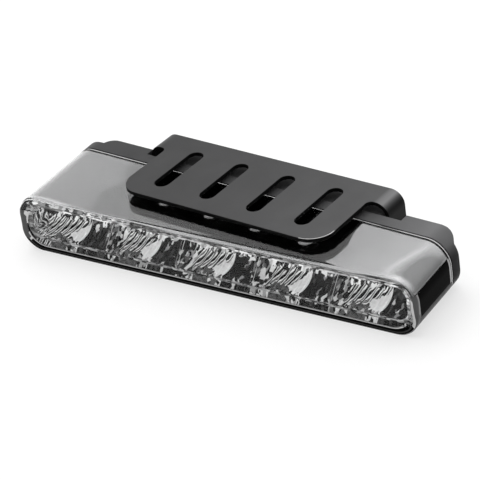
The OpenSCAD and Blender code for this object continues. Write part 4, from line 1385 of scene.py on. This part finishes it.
# Fasteners
class LAMP_OT_fasteners(bpy.types.Operator):
    """Cover screws, driver board screws and the two bracket bolts"""

    bl_idname = "lamp.fasteners"
    bl_label = "Fasteners"

    def execute(self, context):
        f = context.scene.lamp_fasteners
        steel = metal("turned_zinc", f.steel, 0.28)
        low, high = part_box("cover_screws")
        bm = screw(f.cover_head, f.cover_head_t, f.cover_thread, f.cover_l, f.cover_socket)
        place = Matrix.Translation(Vector((0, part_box("rear_cover")[1].y, LAMP_MID_Z)))
        spacing = (high.x - low.x - f.cover_head, high.z - low.z - f.cover_head)
        repeated("cover_screws_turned", bm, 2, 2, spacing, ["cover_screws"], steel, place)
        low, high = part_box("driver_screws")
        bm = screw(f.board_head, f.board_head_t, f.board_thread, f.driver_l, f.board_socket)
        place = Matrix.Translation(Vector((0, high.y - f.board_head_t, LAMP_MID_Z)))
        repeated("driver_screws_turned", bm, 2, 1, (high.x - low.x - f.board_head, 0),
                 ["driver_screws"], steel, place)
        for side, node in ((-1, "bolt_left"), (1, "bolt_right")):
            low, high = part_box(node)
            under = high.x - low.x - f.bolt_head_t
            flats, t = f.bolt_flats / 2, f.bolt_head_t
            bm = bmesh.new()
            shank = f.bolt_thread / 2
            turned(bm, [(shank * 0.7, -under, False), (shank, -under + 0.6 * MM, False),
                        (shank, -0.02 * MM, False), (flats * 0.97, 0, False), (flats, 0.15 * MM, True),
                        (flats, t - 0.45 * MM, True), (flats * 0.97, t - 0.1 * MM, False),
                        (flats * 0.9, t, False), (flats * 0.5, t, False),
                        (flats * 0.45, t - 0.2 * MM, False)], 48)
            head = high.x if side > 0 else low.x
            seat = Vector((head - side * t, (low.y + high.y) / 2, (low.z + high.z) / 2))
            place = Matrix.Translation(seat) @ Matrix.Rotation(-side * math.pi / 2, 4, "Z")
            new_piece(f"{node}_turned", bm, [node], [steel], 32, place)
        return {"FINISHED"}


# Solids with a better finish
class LAMP_OT_finishes(bpy.types.Operator):
    """Node materials for the solids that show as they are"""

    bl_idname = "lamp.finishes"
    bl_label = "Finishes"

    def execute(self, context):
        h, f = context.scene.lamp_housing, context.scene.lamp_fasteners
        # the cast coat carries painted light and shade along the lamp
        cast = coated("cast_coat_painted_light", h.coat, 0.4, grain=3000, strength=0.22, edge=h.edge, swing=0.1,
                      along=(LEFT_END, RIGHT_END, HOUSING_PAINTED_LIGHT), Specular_IOR_Level=0.03)
        rubber = coated("black_rubber", h.rubber, 0.6, grain=2600, strength=0.3, edge=0.2 * MM)
        plastic = coated("black_plastic", h.plastic, 0.45, grain=4000, strength=0.2, edge=0.15 * MM)
        steel = metal("zinc_steel", f.steel, 0.3, edge=0.12 * MM)
        brass = metal("turned_brass", h.brass, 0.28, edge=0.1 * MM)
        green = coated("green_mask", h.board, 0.3, grain=1500, strength=0.1, edge=0.1 * MM)
        white = coated("white_mask", h.light_board, 0.4, grain=1800, strength=0.1, edge=0.1 * MM)
        pad = coated("heat_pad_grey", h.pad, 0.7, grain=1800, strength=0.3)
        ferrite = coated("ferrite_grey", h.ferrite, 0.5, grain=2200, strength=0.4, edge=0.1 * MM)
        can = metal("capacitor_can", h.can, 0.25, edge=0.2 * MM)
        terminal = coated("white_plastic", h.terminal, 0.4, grain=3000, strength=0.1, edge=0.1 * MM)
        by_slot = {"housing_grey": cast, "seal_rubber": rubber, "black_plastic": plastic,
                   "screw_steel": steel, "insert_brass": brass, "green_board": green,
                   "white_board": white, "heat_pad": pad, "ferrite": ferrite, "capacitor_can": can,
                   "white_plastic": terminal}
        slots = {p["node"]: p["material_slot"] for p in frame["record"]["subparts"]}
        for name, node in frame["nodes"].items():
            if node.hide_render:
                continue
            if slots[name] not in by_slot:
                raise RuntimeError(f"no finish for {name}")
            node.data.materials.clear()
            node.data.materials.append(by_slot[slots[name]])
        return {"FINISHED"}


# Stage
class LAMP_OT_stage(bpy.types.Operator):
    """Pale floor, a soft key lamp, a sky brighter behind and above, and the camera"""

    bl_idname = "lamp.stage"
    bl_label = "Stage"

    def execute(self, context):
        st = context.scene.lamp_stage
        scene = context.scene
        low = CAD_BOX[0].z
        mesh = bpy.data.meshes.new("floor")
        r = FLOOR_HALF
        mesh.from_pydata([(-r, -r, low), (r, -r, low), (r, r, low), (-r, r, low)], [], [(0, 1, 2, 3)])
        floor = bpy.data.objects.new("floor", mesh)
        scene.collection.objects.link(floor)
        n = Nodes("floor_paper")
        p = n.shader(st.floor, 0.9, Specular_IOR_Level=0.1)
        n.link(n.ramp(n.noise(8, 2), ((0.3, grey(st.floor, 0.99)), (0.7, grey(st.floor, 1.01)))),
               p.inputs["Base Color"])
        path = n.add("ShaderNodeLightPath")
        seen = path.outputs["Is Camera Ray"]
        for kind in ("Is Glossy Ray", "Is Transmission Ray"):
            seen = n.calc("MAXIMUM", seen, path.outputs[kind])
        n.between(n.calc("MULTIPLY", seen, st.white), p, n.add("ShaderNodeEmission"))
        mesh.materials.append(n.mat)

        world = bpy.data.worlds.new("studio")
        scene.world = world
        world.use_nodes = True
        tree = world.node_tree
        tree.nodes.clear()
        out = tree.nodes.new("ShaderNodeOutputWorld")
        back = tree.nodes.new("ShaderNodeBackground")
        coord = tree.nodes.new("ShaderNodeTexCoord")
        lean = tree.nodes.new("ShaderNodeVectorMath")
        lean.operation = "DOT_PRODUCT"
        lean.inputs[1].default_value = SKY_LEAN
        soft = tree.nodes.new("ShaderNodeMapRange")
        soft.interpolation_type = "SMOOTHSTEP"
        soft.inputs["From Min"].default_value = SKY_DARK
        soft.inputs["From Max"].default_value = SKY_BRIGHT
        soft.inputs["To Min"].default_value = st.low
        soft.inputs["To Max"].default_value = st.high
        tree.links.new(coord.outputs["Generated"], lean.inputs[0])
        tree.links.new(lean.outputs["Value"], soft.inputs["Value"])
        tree.links.new(soft.outputs["Result"], back.inputs["Strength"])
        tree.links.new(back.outputs[0], out.inputs["Surface"])
        back.inputs["Color"].default_value = (1, 1, 1, 1)

        data = bpy.data.lights.new("key_lamp", "AREA")
        data.shape = "SQUARE"
        data.size = KEY_SIDE
        data.energy = st.key
        lamp = bpy.data.objects.new("key_lamp", data)
        lamp.location = KEY_PLACE
        lamp.rotation_mode = "QUATERNION"
        lamp.rotation_quaternion = (KEY_AIM - KEY_PLACE).to_track_quat("-Z", "Y")
        lamp.visible_glossy = False
        lamp.visible_transmission = False
        scene.collection.objects.link(lamp)

        data = bpy.data.cameras.new("camera")
        data.lens = st.lens_mm
        data.sensor_width = 36
        data.clip_start, data.clip_end = 0.01, 20
        cam = bpy.data.objects.new("camera", data)
        turn = Matrix(CAMERA_AXES).transposed()
        cam.matrix_world = Matrix.Translation(CAMERA_PLACE) @ turn.to_4x4()
        scene.collection.objects.link(cam)
        scene.camera = cam
        scene.view_settings.view_transform = "Standard"
        return {"FINISHED"}


class LAMP_PT_panel(bpy.types.Panel):
    """Buttons and sizes in the sidebar"""

    bl_label = "Daytime running light"
    bl_idname = "LAMP_PT_panel"
    bl_space_type = "VIEW_3D"
    bl_region_type = "UI"
    bl_category = "Lamp"

    def draw(self, context):
        for operator in STEPS:
            self.layout.operator(operator.bl_idname)
        for name, group in GROUPS:
            box = self.layout.box()
            for key in group.__annotations__:
                box.prop(getattr(context.scene, name), key)


GROUPS = (("lamp_lens", LensSettings), ("lamp_optics", OpticsSettings), ("lamp_bracket", BracketSettings),
          ("lamp_fasteners", FastenerSettings), ("lamp_housing", HousingSettings),
          ("lamp_stage", StageSettings))
STEPS = (LAMP_OT_lens, LAMP_OT_coat, LAMP_OT_bezel, LAMP_OT_reflector, LAMP_OT_lights, LAMP_OT_bracket,
         LAMP_OT_fasteners, LAMP_OT_finishes, LAMP_OT_stage)


def register():
    for name, group in GROUPS:
        bpy.utils.register_class(group)
        setattr(bpy.types.Scene, name, bpy.props.PointerProperty(type=group))
    for cls in STEPS + (LAMP_PT_panel,):
        bpy.utils.register_class(cls)


def unregister():
    for cls in (LAMP_PT_panel,) + STEPS[::-1]:
        bpy.utils.unregister_class(cls)
    for name, group in GROUPS[::-1]:
        delattr(bpy.types.Scene, name)
        bpy.utils.unregister_class(group)


def main():
    register()
    bpy.ops.lamp.lens()
    bpy.ops.lamp.coat()
    bpy.ops.lamp.bezel()
    bpy.ops.lamp.reflector()
    bpy.ops.lamp.lights()
    bpy.ops.lamp.bracket()
    bpy.ops.lamp.fasteners()
    bpy.ops.lamp.finishes()
    bpy.ops.lamp.stage()


if __name__ == "__main__":
    main()
